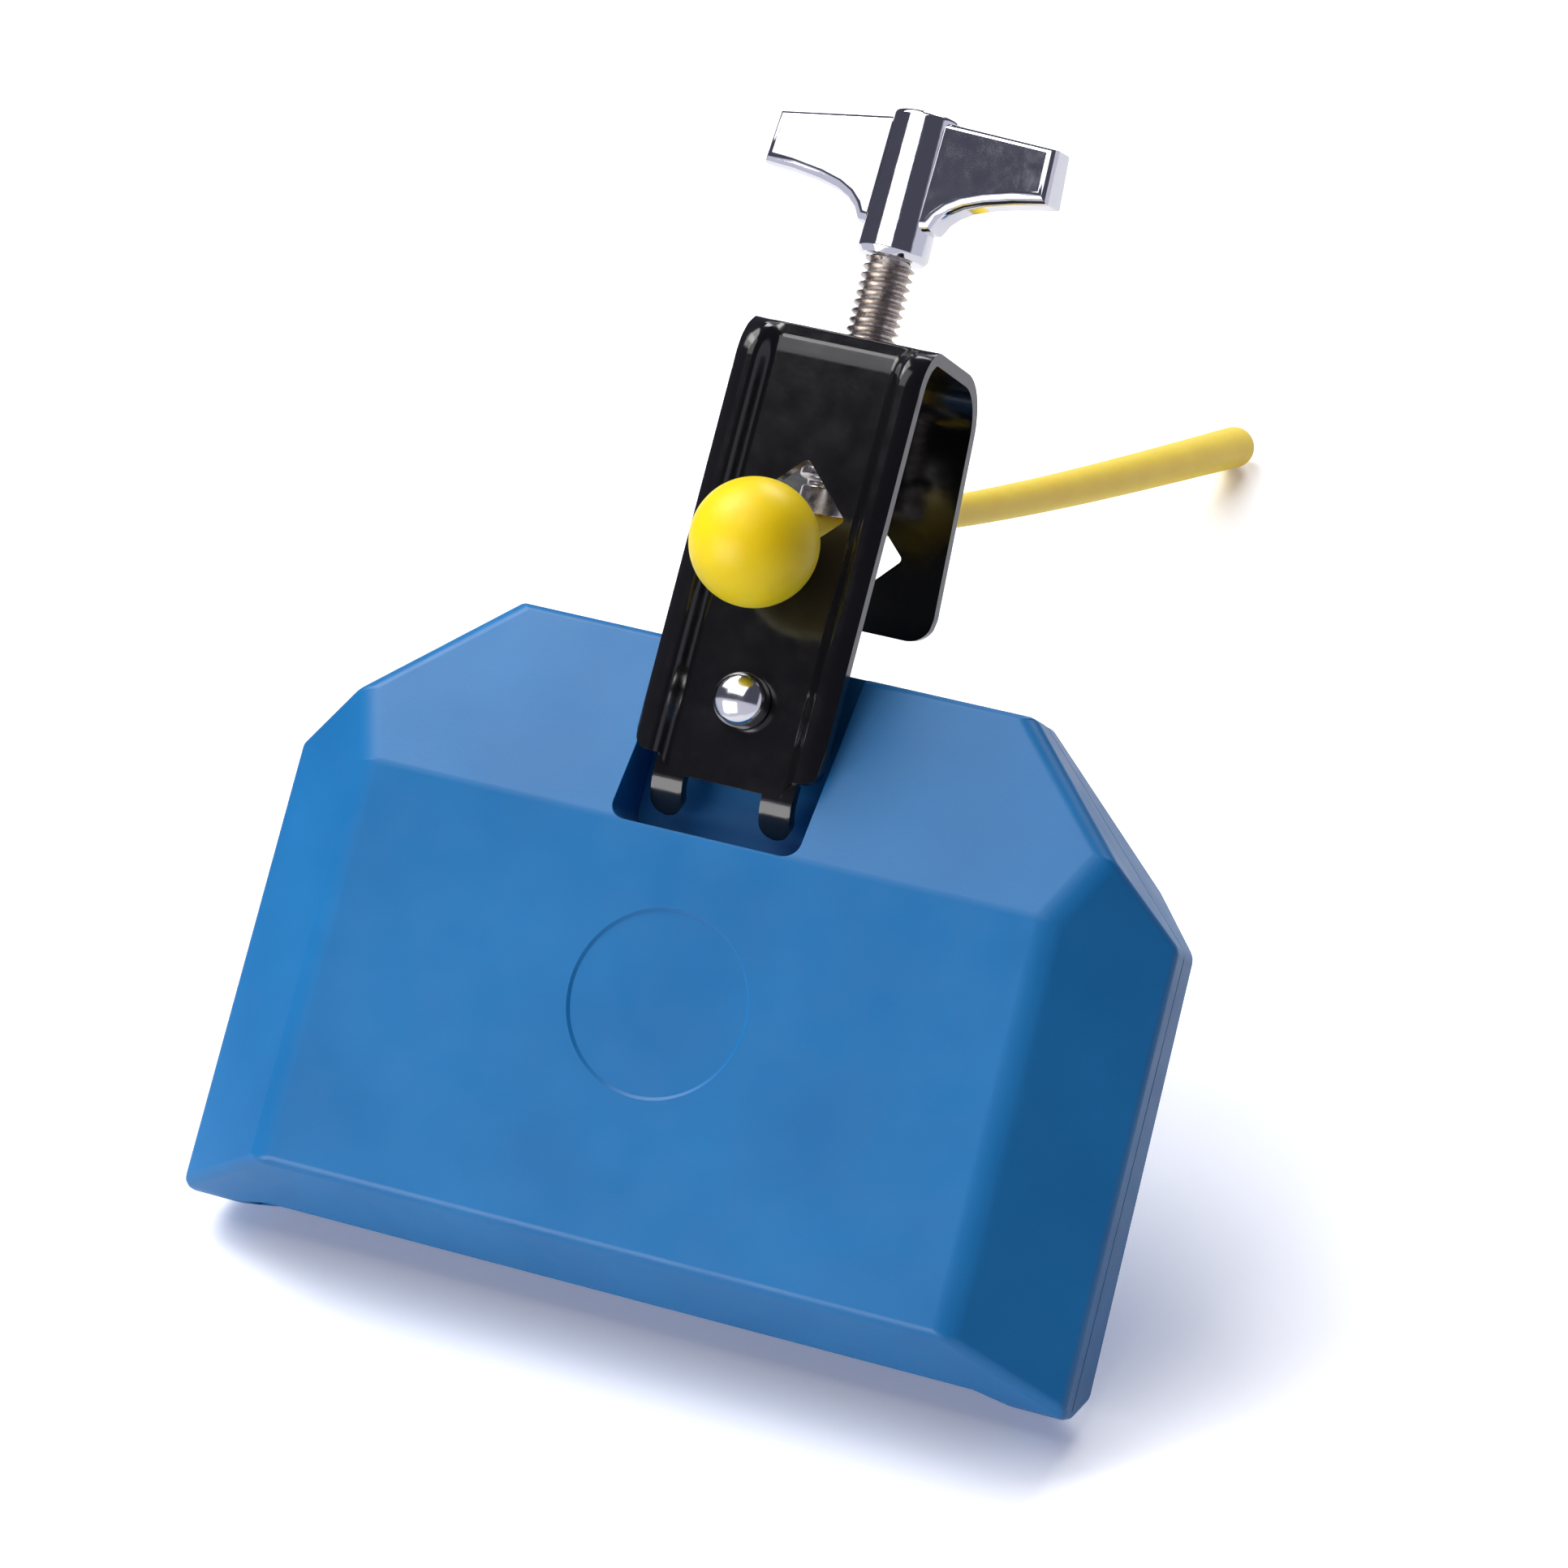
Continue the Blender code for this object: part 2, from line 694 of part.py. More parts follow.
def make_strap(bolt_hole):
    black = make_material("black_coated_steel", (0.012, 0.012, 0.014), 0.0, 0.22)
    strap = add_part("bracket_strap", strap_shape(), black)
    left = add_cutter("left_lug", lug_shape(-1.0))
    right = add_cutter("right_lug", lug_shape(1.0))
    corners = [
        (0.0, ROD_HEIGHT - WINDOW),
        (WINDOW, ROD_HEIGHT),
        (0.0, ROD_HEIGHT + WINDOW),
        (-WINDOW, ROD_HEIGHT),
    ]
    outline = rounded_outline(corners, [0.0, WINDOW_CORNER, WINDOW_CORNER, WINDOW_CORNER], 3)
    reach = STRAP_FRONT_Y * 2.0
    middle = STRAP_FRONT_Y / 3.0
    front_window = add_cutter("front_window", slab_along_y(outline, -reach, -middle))
    rear_window = add_cutter("rear_window", slab_along_y(outline, middle, reach))
    hole_r = THREAD_R + GAP
    top_low = spot(0.0, 0.0, STRAP_TOP_H - STRAP_SHEET * 2.0)
    top_high = spot(0.0, 0.0, STRAP_TOP_H + STRAP_SHEET)
    top_hole = add_cutter("top_hole", round_shape(top_low, top_high, hole_r, hole_r, 32))
    combine(strap, left, "UNION")
    combine(strap, right, "UNION")
    combine(strap, front_window, "DIFFERENCE")
    combine(strap, rear_window, "DIFFERENCE")
    combine(strap, top_hole, "DIFFERENCE")
    combine(strap, bolt_hole, "DIFFERENCE")


def make_bolt_group():
    chrome = make_material("bolt_chrome", (0.75, 0.75, 0.77), 1.0, 0.12)
    zinc = make_material("zinc_steel", (0.55, 0.55, 0.56), 1.0, 0.35)
    lay = Matrix.Rotation(math.radians(-90.0), 3, "X")

    head = [(0.0, -BOLT_HEAD_SIDE - BOLT_HEAD_DOME)]
    for step in range(1, 9):
        angle = math.radians(90.0) * step / 8.0
        rise = BOLT_HEAD_SIDE + BOLT_HEAD_DOME * math.cos(angle)
        head.append((BOLT_HEAD_R * math.sin(angle), -rise))
    head.append((BOLT_HEAD_R, 0.0))
    reach = BOLT_END_Y - PANEL_Y + GAP
    head += [
        (BOLT_R, 0.0),
        (BOLT_R, reach - BOLT_POINT),
        (BOLT_R - BOLT_POINT, reach),
        (0.0, reach),
    ]
    bolt = turned_shape(head, 32)
    bmesh.ops.rotate(bolt, verts=bolt.verts, matrix=lay)
    bmesh.ops.translate(bolt, verts=bolt.verts, vec=spot(0.0, PANEL_Y - GAP, BOLT_H))
    add_part("mounting_bolt", bolt, chrome)

    start = -POCKET_FLOOR_Y + POCKET_FLOOR + GAP
    inner_r = BOLT_R + GAP
    stack = [
        ("inner_washer", WASHER_R, WASHER_TALL, 24),
        ("lock_washer", SPRING_R, SPRING_TALL, 24),
        ("mounting_nut", SMALL_NUT_FLATS / 2.0 / math.cos(math.tau / 12.0), SMALL_NUT_TALL, 6),
    ]
    for name, outer_r, tall, sides in stack:
        rings = [(inner_r, 0.0), (outer_r, 0.0), (outer_r, tall), (inner_r, tall)]
        piece = ring_shape(rings, sides)
        bmesh.ops.rotate(piece, verts=piece.verts, matrix=lay)
        bmesh.ops.translate(piece, verts=piece.verts, vec=spot(0.0, start, BOLT_H))
        add_part(name, piece, zinc)
        start = start + tall + GAP


def ring_shape(rings, sides):
    """A ring with a round bore, round or six-sided outside, standing on Z = 0."""
    inner_r, low = rings[0]
    outer_r, high = rings[2]
    count = 24
    shape = bmesh.new()
    inner = []
    outer = []
    for step in range(count):
        angle = math.tau * step / count
        reach = outer_r
        if sides == 6:
            part = (angle % (math.tau / 6.0)) - math.tau / 12.0
            reach = outer_r * math.cos(math.tau / 12.0) / math.cos(part)
        turn = Vector((math.cos(angle), math.sin(angle), 0.0))
        inner.append(shape.verts.new(turn * inner_r * MM))
        outer.append(shape.verts.new(turn * reach * MM))
    for step in range(count):
        after = (step + 1) % count
        shape.faces.new((inner[step], outer[step], outer[after], inner[after]))
    grown = bmesh.ops.extrude_face_region(shape, geom=list(shape.faces))
    moved = [item for item in grown["geom"] if isinstance(item, bmesh.types.BMVert)]
    bmesh.ops.translate(shape, verts=moved, vec=(0.0, 0.0, (high - low) * MM))
    return shape


def make_screw_group():
    chrome = make_material("handle_chrome", (0.8, 0.8, 0.82), 1.0, 0.08)
    steel = make_material("thread_steel", (0.62, 0.58, 0.54), 1.0, 0.28)
    plate = make_material("shoe_plate", (0.66, 0.63, 0.6), 1.0, 0.2)
    nut_steel = make_material("nut_steel", (0.05, 0.05, 0.055), 0.0, 0.35)

    nut_top = STRAP_TOP_H - STRAP_SHEET - GAP
    nut_r = NUT_FLATS / 2.0 / math.cos(math.tau / 12.0)
    bore_r = THREAD_R + GAP
    rings = [(bore_r, 0.0), (nut_r, 0.0), (nut_r, NUT_TALL), (bore_r, NUT_TALL)]
    nut = ring_shape(rings, 6)
    bmesh.ops.translate(nut, verts=nut.verts, vec=spot(0.0, 0.0, nut_top - NUT_TALL))
    add_part("clamp_nut", nut, nut_steel)

    top = BOSS_LOW_H - GAP
    rings = [
        (0.0, POINT_LOW_H),
        (SPIGOT_R, POINT_LOW_H),
        (SPIGOT_R, SCREW_LOW_H),
        (THREAD_R - THREAD_POINT, SCREW_LOW_H),
        (THREAD_R, SCREW_LOW_H + THREAD_POINT),
        (THREAD_R, top - THREAD_POINT),
        (THREAD_R - THREAD_POINT, top),
        (SPIGOT_R, top),
        (SPIGOT_R, SPIGOT_TOP_H),
        (0.0, SPIGOT_TOP_H),
    ]
    screw = turned_shape(rings, 32)
    bmesh.ops.translate(screw, verts=screw.verts, vec=(0.0, 0.0, up(0.0)))
    add_part("clamp_screw", screw, steel, spot(0.0, 0.0, SCREW_LOW_H))

    socket_r = SPIGOT_R + GAP
    socket_low = POINT_LOW_H - GAP
    foot_low = MALLET_MID_H - SHOE_R
    rings = [
        (0.0, foot_low),
        (SHOE_R, foot_low),
        (SHOE_R, SHOE_TOP_H - SHOE_ROUND),
        (SHOE_R - SHOE_ROUND, SHOE_TOP_H),
        (socket_r, SHOE_TOP_H),
        (socket_r, socket_low),
        (0.0, socket_low),
    ]
    shoe = turned_shape(rings, 32)
    bmesh.ops.translate(shoe, verts=shoe.verts, vec=(0.0, 0.0, up(0.0)))
    lean = math.radians(MALLET_LEAN)
    under_shoe = stick_radius(BALL_FRONT / math.cos(lean))
    seat = MALLET_MID_H + (under_shoe + SEAT_ROOM) / math.cos(lean)
    trim(shoe, Vector((0.0, 0.0, seat)), Vector((0.0, math.sin(lean), -math.cos(lean))))
    add_part("pressure_shoe", shoe, plate, spot(0.0, 0.0, SCREW_LOW_H))

    tip_top = HANDLE_TOP_H - WING_TIP_DROP
    tip_low = tip_top - WING_TIP_TALL
    root_low = HANDLE_TOP_H - WING_ROOT_TALL
    outline = [
        (-WING_TIP_X + WING_TIP_LEAN, tip_low),
        (-WING_ROOT_X, root_low),
        (WING_ROOT_X, root_low),
        (WING_TIP_X - WING_TIP_LEAN, tip_low),
        (WING_TIP_X, tip_top),
        (0.0, HANDLE_TOP_H - GAP),
        (-WING_TIP_X, tip_top),
    ]
    wings = slab_along_y(outline, -WING_ROOT_Y, WING_ROOT_Y)
    for point in wings.verts:
        far = min(1.0, abs(point.co.x) / (WING_TIP_X * MM))
        point.co.y = point.co.y * (1.0 - far * (1.0 - WING_TIP_Y / WING_ROOT_Y))
    spin = Matrix.Rotation(math.radians(HANDLE_YAW), 3, "Z")
    bmesh.ops.rotate(wings, verts=wings.verts, matrix=spin)
    handle = add_part("wing_handle", wings, chrome, spot(0.0, 0.0, BOSS_LOW_H))
    soften(handle, WING_ROUND, 3, 20.0)
    rings = [
        (0.0, BOSS_LOW_H),
        (HANDLE_RIM_R - 0.2 * HANDLE_RIM_TALL, BOSS_LOW_H),
        (HANDLE_RIM_R, BOSS_LOW_H + 0.2 * HANDLE_RIM_TALL),
        (HANDLE_RIM_R, BOSS_LOW_H + 0.7 * HANDLE_RIM_TALL),
        (HANDLE_BOSS_R, BOSS_LOW_H + HANDLE_RIM_TALL),
        (HANDLE_BOSS_R, HANDLE_TOP_H - HANDLE_CROWN),
        (HANDLE_BOSS_R - 0.3 * HANDLE_CROWN, HANDLE_TOP_H - 0.3 * HANDLE_CROWN),
        (HANDLE_BOSS_R - HANDLE_CROWN, HANDLE_TOP_H),
        (0.0, HANDLE_TOP_H),
    ]
    core = turned_shape(rings, 32)
    bmesh.ops.translate(core, verts=core.verts, vec=(0.0, 0.0, up(0.0)))
    boss = add_cutter("handle_boss", core)
    hole_low = spot(0.0, 0.0, STRAP_TOP_H)
    hole_high = spot(0.0, 0.0, SPIGOT_TOP_H + GAP)
    hole = add_cutter("handle_hole", round_shape(hole_low, hole_high, socket_r, socket_r, 24))
    combine(handle, boss, "UNION")
    combine(handle, hole, "DIFFERENCE")


def stick_radius(along):
    return STICK_R + STICK_TAPER * along


def mallet_turn():
    """Turns local +Z to the mallet's own direction, ball to tail."""
    lean = math.radians(MALLET_LEAN)
    return Matrix.Rotation(-(math.pi / 2.0 - lean), 3, "X")


def make_mallet():
    yellow = make_material("yellow_ball", (0.85, 0.7, 0.03), 0.0, 0.3)
    stick_yellow = make_material("yellow_stick", (0.8, 0.6, 0.06), 0.0, 0.3)
    ball_h = MALLET_MID_H - MALLET_RISE * BALL_FRONT
    centre = spot(0.0, -BALL_FRONT, ball_h)
    lean = math.radians(MALLET_LEAN)
    direction = Vector((0.0, math.cos(lean), math.sin(lean)))

    end_r = stick_radius(STICK_LONG)
    rings = [(0.0, -SOCKET_DEEP + GAP), (stick_radius(0.0), -SOCKET_DEEP + GAP)]
    for step in range(1, 5):
        along = STICK_LONG * step / 4.0
        rings.append((stick_radius(along), along))
    for step in range(1, 6):
        angle = math.radians(90.0) * step / 6.0
        rings.append((end_r * math.cos(angle), STICK_LONG + end_r * math.sin(angle)))
    rings.append((0.0, STICK_LONG + end_r))
    stick = turned_shape(rings, 32)
    bmesh.ops.rotate(stick, verts=stick.verts, matrix=mallet_turn())
    bmesh.ops.translate(stick, verts=stick.verts, vec=centre)
    add_part("mallet_stick", stick, stick_yellow, centre)

    shape = bmesh.new()
    bmesh.ops.create_uvsphere(shape, u_segments=32, v_segments=18, radius=BALL_R * MM)
    bmesh.ops.rotate(shape, verts=shape.verts, matrix=mallet_turn())
    bmesh.ops.translate(shape, verts=shape.verts, vec=centre)
    ball = add_part("mallet_ball", shape, yellow, centre)
    hole_r = stick_radius(BALL_R) + GAP
    start = centre - direction * SOCKET_DEEP * MM
    end = centre + direction * BALL_R * 1.5 * MM
    hole = add_cutter("ball_socket", round_shape(start, end, hole_r, hole_r, 24))
    combine(ball, hole, "DIFFERENCE")


clear_scene()
PARTS = make_collection("jam_block", False)
CUTTERS = make_collection("cutters", True)
BOLT_HOLE = make_block()
make_strap(BOLT_HOLE)
make_bolt_group()
make_screw_group()
make_mallet()
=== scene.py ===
# %% [markdown]
# # A jam block on its rod clamp
# A jam block is a hollow plastic bar that rings like a wooden block. Two moulded
# halves make the bar, a pressed steel strap hangs it on a drummer's rod, and a
# wing screw holds the rod. Here the block's own mallet lies in the clamp, and
# the block leans on it like an easel on its leg.
#
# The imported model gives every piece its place. This lesson gives the pieces
# their fine shapes and finishes, one at a time.

import math

import bmesh
import bpy
from mathutils import Matrix
from mathutils import Vector


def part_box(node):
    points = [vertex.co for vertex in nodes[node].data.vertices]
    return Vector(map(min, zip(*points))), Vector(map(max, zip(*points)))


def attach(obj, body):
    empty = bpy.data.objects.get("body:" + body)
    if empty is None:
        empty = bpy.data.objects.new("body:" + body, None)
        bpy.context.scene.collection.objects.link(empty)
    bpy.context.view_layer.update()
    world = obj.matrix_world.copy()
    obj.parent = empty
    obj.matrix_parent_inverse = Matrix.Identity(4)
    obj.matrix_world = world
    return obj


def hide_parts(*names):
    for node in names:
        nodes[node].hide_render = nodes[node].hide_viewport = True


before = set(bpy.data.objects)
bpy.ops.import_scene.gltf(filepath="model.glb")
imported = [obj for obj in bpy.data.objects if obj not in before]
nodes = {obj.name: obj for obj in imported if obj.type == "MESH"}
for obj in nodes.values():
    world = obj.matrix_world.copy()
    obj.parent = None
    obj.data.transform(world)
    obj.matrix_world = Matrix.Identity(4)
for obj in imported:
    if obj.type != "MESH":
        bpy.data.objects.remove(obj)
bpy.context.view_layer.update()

# %% [markdown]
# ## Measures
# All sizes are in millimetres, and heights are measured up from the lower edge
# of the block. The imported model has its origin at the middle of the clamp's
# windows, so the block's lowest point gives the height of that origin.

# %% Millimetres and heights
MM = 0.001
GAP = 0.3
shell_low, shell_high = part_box("front_shell")
ROD_HEIGHT = -shell_low[2] / MM
CROWN_H = (shell_high[2] - shell_low[2]) / MM


def up(height):
    """Height over the block's lower edge to scene Z, in metres."""
    return (height - ROD_HEIGHT) * MM


def spot(x, y, height):
    """A point in the scene from millimetres and a height."""
    return Vector((x * MM, y * MM, up(height)))


print(f"windows' middle {ROD_HEIGHT:.1f} mm up, block {CROWN_H:.1f} mm tall")

# %% [markdown]
# ## Making and finishing a mesh
# Each piece starts as a bmesh. It becomes an object that rides on its body and
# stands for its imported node. Modifiers do the rounding and cutting, and their
# result is then kept as the piece's own mesh, so that its shading can be set.
# Weighted normals keep large flats flat and let narrow roundings carry all of
# the turn, as they do on a real moulding.


# %% Objects from meshes
def mesh_object(name, shape):
    """Turn a bmesh into an object, with its faces pointing out."""
    bmesh.ops.recalc_face_normals(shape, faces=shape.faces)
    mesh = bpy.data.meshes.new(name)
    shape.to_mesh(mesh)
    shape.free()
    made = bpy.data.objects.new(name, mesh)
    bpy.context.scene.collection.objects.link(made)
    return made


def cut_or_join(target, shape, operation):
    """Cut a shape out of an object, or join it on, and keep the result."""
    helper = mesh_object("helper", shape)
    step = target.modifiers.new("helper", "BOOLEAN")
    step.operation = operation
    step.solver = "EXACT"
    step.object = helper
    keep_modifiers(target)
    bpy.data.objects.remove(helper, do_unlink=True)


def keep_modifiers(target):
    """Make what the modifiers show the object's own mesh."""
    graph = bpy.context.evaluated_depsgraph_get()
    made = bpy.data.meshes.new_from_object(target.evaluated_get(graph))
    target.modifiers.clear()
    old = target.data
    target.data = made
    bpy.data.meshes.remove(old)
    made.name = target.name


def round_sharp(target, width, segments, angle):
    """Round every edge sharper than an angle, and keep the result."""
    step = target.modifiers.new("round", "BEVEL")
    step.width = width * MM
    step.segments = segments
    step.limit_method = "ANGLE"
    step.angle_limit = math.radians(angle)
    step.use_clamp_overlap = True
    step.miter_outer = "MITER_ARC"
    keep_modifiers(target)


def finish_piece(target, body, node, material, sharp=30.0):
    """Smooth a piece's shading and tie it to its body, node and material."""
    target.data.materials.clear()
    target.data.materials.append(material)
    target.data.shade_smooth()
    target.data.set_sharp_from_angle(angle=math.radians(sharp))
    even = target.modifiers.new("even shading", "WEIGHTED_NORMAL")
    even.keep_sharp = True
    even.weight = 80
    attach(target, body)
    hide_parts(node)
    print(f"{target.name}: {len(target.data.polygons)} faces")


# %% Basic solids
def box_shape(low, high):
    shape = bmesh.new()
    size = high - low
    turn = Matrix.Translation((low + high) / 2.0) @ Matrix.Diagonal((*size, 1.0))
    bmesh.ops.create_cube(shape, size=1.0, matrix=turn)
    return shape


def round_bar(start, end, radius, segments=64):
    shape = bmesh.new()
    along = end - start
    turn = along.to_track_quat("Z", "Y").to_matrix().to_4x4()
    bmesh.ops.create_cone(
        shape,
        cap_ends=True,
        segments=segments,
        radius1=radius * MM,
        radius2=radius * MM,
        depth=along.length,
        matrix=Matrix.Translation((start + end) / 2.0) @ turn,
    )
    return shape


def turned_shape(profile, segments=96):
    """A solid of revolution about Z from (radius, height) pairs."""
    shape = bmesh.new()
    edges = []
    last = None
    for radius, height in profile:
        point = shape.verts.new((radius * MM, 0.0, height * MM))
        if last is not None:
            edges.append(shape.edges.new((last, point)))
        last = point
    bmesh.ops.spin(
        shape,
        geom=list(shape.verts) + edges,
        cent=(0.0, 0.0, 0.0),
        axis=(0.0, 0.0, 1.0),
        angle=math.tau,
        steps=segments,
        use_duplicate=False,
    )
    bmesh.ops.remove_doubles(shape, verts=shape.verts, dist=0.000002)
    return shape


def slab_along_y(outline, near, far):
    """An outline of (x, height) pairs, carried from one Y to another."""
    shape = bmesh.new()
    points = [shape.verts.new(spot(x, near, height)) for x, height in outline]
    face = shape.faces.new(points)
    grown = bmesh.ops.extrude_face_region(shape, geom=[face])
    moved = [item for item in grown["geom"] if isinstance(item, bmesh.types.BMVert)]
    bmesh.ops.translate(shape, verts=moved, vec=(0.0, (far - near) * MM, 0.0))
    return shape


def rounded_outline(corners, radius, steps):
    """Corner points with each corner replaced by an arc."""
    outline = []
    count = len(corners)
    for index in range(count):
        here = Vector(corners[index])
        before = (Vector(corners[index - 1]) - here).normalized()
        after = (Vector(corners[(index + 1) % count]) - here).normalized()
        half = before.angle(after) / 2.0
        reach = radius / math.tan(half)
        centre = here + (before + after).normalized() * radius / math.sin(half)
        first = here + before * reach - centre
        final = here + after * reach - centre
        sweep = first.angle_signed(final)
        for step in range(steps + 1):
            turn = Matrix.Rotation(-sweep * step / steps, 2)
            outline.append(centre + turn @ first)
    return outline


# %% [markdown]
# ## Materials
# A finish is more than a colour. Each material starts from the plain shader and
# gets what the real surface shows: a slow drift in the colour of a moulding,
# the fine orange peel of paint, the ripple of chrome over a casting. All of it
# is noise in the object's own coordinates, so it stays put when a piece moves.


# %% Shader helpers
def plain(name, colour, roughness, metallic=0.0):
    made = bpy.data.materials.new(name)
    made.use_nodes = True
    shader = made.node_tree.nodes["Principled BSDF"]
    shader.inputs["Base Color"].default_value = (*colour, 1.0)
    shader.inputs["Roughness"].default_value = roughness
    shader.inputs["Metallic"].default_value = metallic
    return made


def noise(material, scale, detail=2.0):
    """A noise in object coordinates; its scale is features per metre."""
    tree = material.node_tree
    place = tree.nodes.new("ShaderNodeTexCoord")
    made = tree.nodes.new("ShaderNodeTexNoise")
    made.inputs["Scale"].default_value = scale
    made.inputs["Detail"].default_value = detail
    tree.links.new(place.outputs["Object"], made.inputs["Vector"])
    return made.outputs["Fac"]


def drift_colour(material, scale, first, second):
    """Let the base colour wander between two tones."""
    tree = material.node_tree
    ramp = tree.nodes.new("ShaderNodeValToRGB")
    ramp.color_ramp.elements[0].position = 0.3
    ramp.color_ramp.elements[0].color = (*first, 1.0)
    ramp.color_ramp.elements[1].position = 0.7
    ramp.color_ramp.elements[1].color = (*second, 1.0)
    tree.links.new(noise(material, scale, 3.0), ramp.inputs["Fac"])
    tree.links.new(ramp.outputs["Color"], tree.nodes["Principled BSDF"].inputs["Base Color"])


def drift_roughness(material, scale, low, high):
    tree = material.node_tree
    spread = tree.nodes.new("ShaderNodeMapRange")
    spread.inputs["From Min"].default_value = 0.3
    spread.inputs["From Max"].default_value = 0.7
    spread.inputs["To Min"].default_value = low
    spread.inputs["To Max"].default_value = high
    tree.links.new(noise(material, scale, 3.0), spread.inputs["Value"])
    tree.links.new(spread.outputs["Result"], tree.nodes["Principled BSDF"].inputs["Roughness"])


def ripple(material, scale, height, strength):
    """Raise and lower the surface a little, height in millimetres."""
    tree = material.node_tree
    bump = tree.nodes.new("ShaderNodeBump")
    bump.inputs["Distance"].default_value = height * MM
    bump.inputs["Strength"].default_value = strength
    tree.links.new(noise(material, scale), bump.inputs["Height"])
    tree.links.new(bump.outputs["Normal"], tree.nodes["Principled BSDF"].inputs["Normal"])


# %% [markdown]
# The moulding is a satin blue. Its colour drifts by a few percent over
# centimetres, and a grain of about half a millimetre breaks the reflections.

# %% Blue moulding
moulding = plain("satin blue moulding", (0.010, 0.160, 0.42), 0.36)
drift_colour(moulding, 45.0, (0.008, 0.146, 0.392), (0.012, 0.173, 0.447))
drift_roughness(moulding, 130.0, 0.32, 0.40)
moulding.node_tree.nodes["Principled BSDF"].inputs["Specular IOR Level"].default_value = 0.38
ripple(moulding, 1700.0, 0.05, 0.25)

# %% [markdown]
# The strap and its welded nut are powder coated: near black, glossy, and with
# the soft orange peel that the powder leaves when it melts.

# %% Black powder coat
coating = plain("black powder coat", (0.006, 0.006, 0.007), 0.14)
coating.node_tree.nodes["Principled BSDF"].inputs["Specular IOR Level"].default_value = 0.6
drift_roughness(coating, 260.0, 0.10, 0.18)
ripple(coating, 500.0, 0.1, 0.12)

# %% [markdown]
# The wing handle is chrome over a polished casting, which keeps a slow ripple.
# The bolt is a smoother chrome, the thread a warmer plated steel, and the small
# fasteners inside the block are dull zinc.

# %% Metals
chrome = plain("chrome on casting", (0.80, 0.80, 0.83), 0.07, 1.0)
drift_roughness(chrome, 420.0, 0.05, 0.1)
ripple(chrome, 700.0, 0.25, 0.04)

bright = plain("bright bolt", (0.80, 0.80, 0.81), 0.1, 1.0)
drift_roughness(bright, 900.0, 0.08, 0.18)
ripple(bright, 600.0, 0.1, 0.1)

plated = plain("plated thread", (0.57, 0.51, 0.47), 0.26, 1.0)
drift_colour(plated, 700.0, (0.48, 0.42, 0.38), (0.65, 0.60, 0.56))
drift_roughness(plated, 900.0, 0.2, 0.36)

zinc = plain("zinc plate", (0.55, 0.55, 0.57), 0.38, 1.0)
drift_roughness(zinc, 800.0, 0.3, 0.5)
ripple(zinc, 1200.0, 0.05, 0.2)

# %% [markdown]
# The mallet is moulded in one yellow, cleaner on the ball and warmer on the
# stick. A little light travels inside such plastic, which subsurface scatter
# gives: it softens the change from light to shade.

# %% Yellow mouldings
yellow = plain("yellow ball", (0.98, 0.70, 0.006), 0.4)
drift_colour(yellow, 80.0, (0.97, 0.68, 0.005), (0.99, 0.72, 0.008))
ripple(yellow, 900.0, 0.05, 0.2)
stick_yellow = plain("yellow stick", (0.97, 0.69, 0.030), 0.45)
drift_colour(stick_yellow, 120.0, (0.95, 0.67, 0.026), (0.98, 0.71, 0.036))
ripple(stick_yellow, 500.0, 0.05, 0.15)
for material in (yellow, stick_yellow):
    shader = material.node_tree.nodes["Principled BSDF"]
    shader.inputs["Specular IOR Level"].default_value = 0.35
    shader.inputs["Subsurface Weight"].default_value = 0.5
    shader.inputs["Subsurface Radius"].default_value = (1.0, 0.6, 0.1)
    shader.inputs["Subsurface Scale"].default_value = 0.005
print("materials:", ", ".join(material.name for material in bpy.data.materials))

# %% [markdown]
# ## The block's outer form
# The block is a flat bar with cut corners, drawn by plane faces alone: a
# striking face, a slope above it, a bevel at each side, two cut corners, and a
# lip that narrows the lower edge to a keel. So the form can be made as a gem is
# cut, from a box and one plane after another.

# %% Block sizes
FACE_Y = 16.5
FACE_TOP_X = 55.8
FACE_TOP_H = 69.9
FACE_LOW_X = 57.1
FACE_LOW_H = 7.1
CROWN_X = 42.3
CROWN_Y = 6.4
SHOULDER_X = 72.1
SHOULDER_H = 70.8
FOOT_X = 72.6
KEEL_Y = 2.2
WALL = 3.2
FRONT_WALL_Y = (3.9, 3.8)
REAR_WALL_Y = (5.8, 8.2)


# %% Planes of the block
def block_planes(wall_y):
    """Names, points and outward normals of the right front quarter.

    wall_y says how far from the joint the outer wall ends, at the shoulder and
    at the foot.
    """
    face_top = Vector((FACE_TOP_X, -FACE_Y, FACE_TOP_H))
    face_low = Vector((FACE_LOW_X, -FACE_Y, FACE_LOW_H))
    shoulder = Vector((SHOULDER_X, -wall_y[0], SHOULDER_H))
    foot = Vector((FOOT_X, -wall_y[1], FACE_LOW_H))
    crown = Vector((CROWN_X, -CROWN_Y, CROWN_H))
    slope = Vector((0.0, FACE_TOP_H - CROWN_H, FACE_Y - CROWN_Y))
    side = (foot - face_top).cross(shoulder - face_top)
    corner = Vector((CROWN_H - SHOULDER_H, 0.0, SHOULDER_X - CROWN_X))
    outer = Vector((SHOULDER_H - FACE_LOW_H, 0.0, FOOT_X - SHOULDER_X))
    lip = Vector((0.0, -FACE_LOW_H, KEEL_Y - FACE_Y))
    return [
        ("face", face_top, Vector((0.0, -1.0, 0.0))),
        ("slope", face_top, slope.normalized()),
        ("side", face_top, side.normalized()),
        ("corner", crown, corner.normalized()),
        ("outer", shoulder, outer.normalized()),
        ("lip", face_low, lip.normalized()),
        ("top", crown, Vector((0.0, 0.0, 1.0))),
        ("keel", Vector((0.0, 0.0, 0.0)), Vector((0.0, 0.0, -1.0))),
    ]


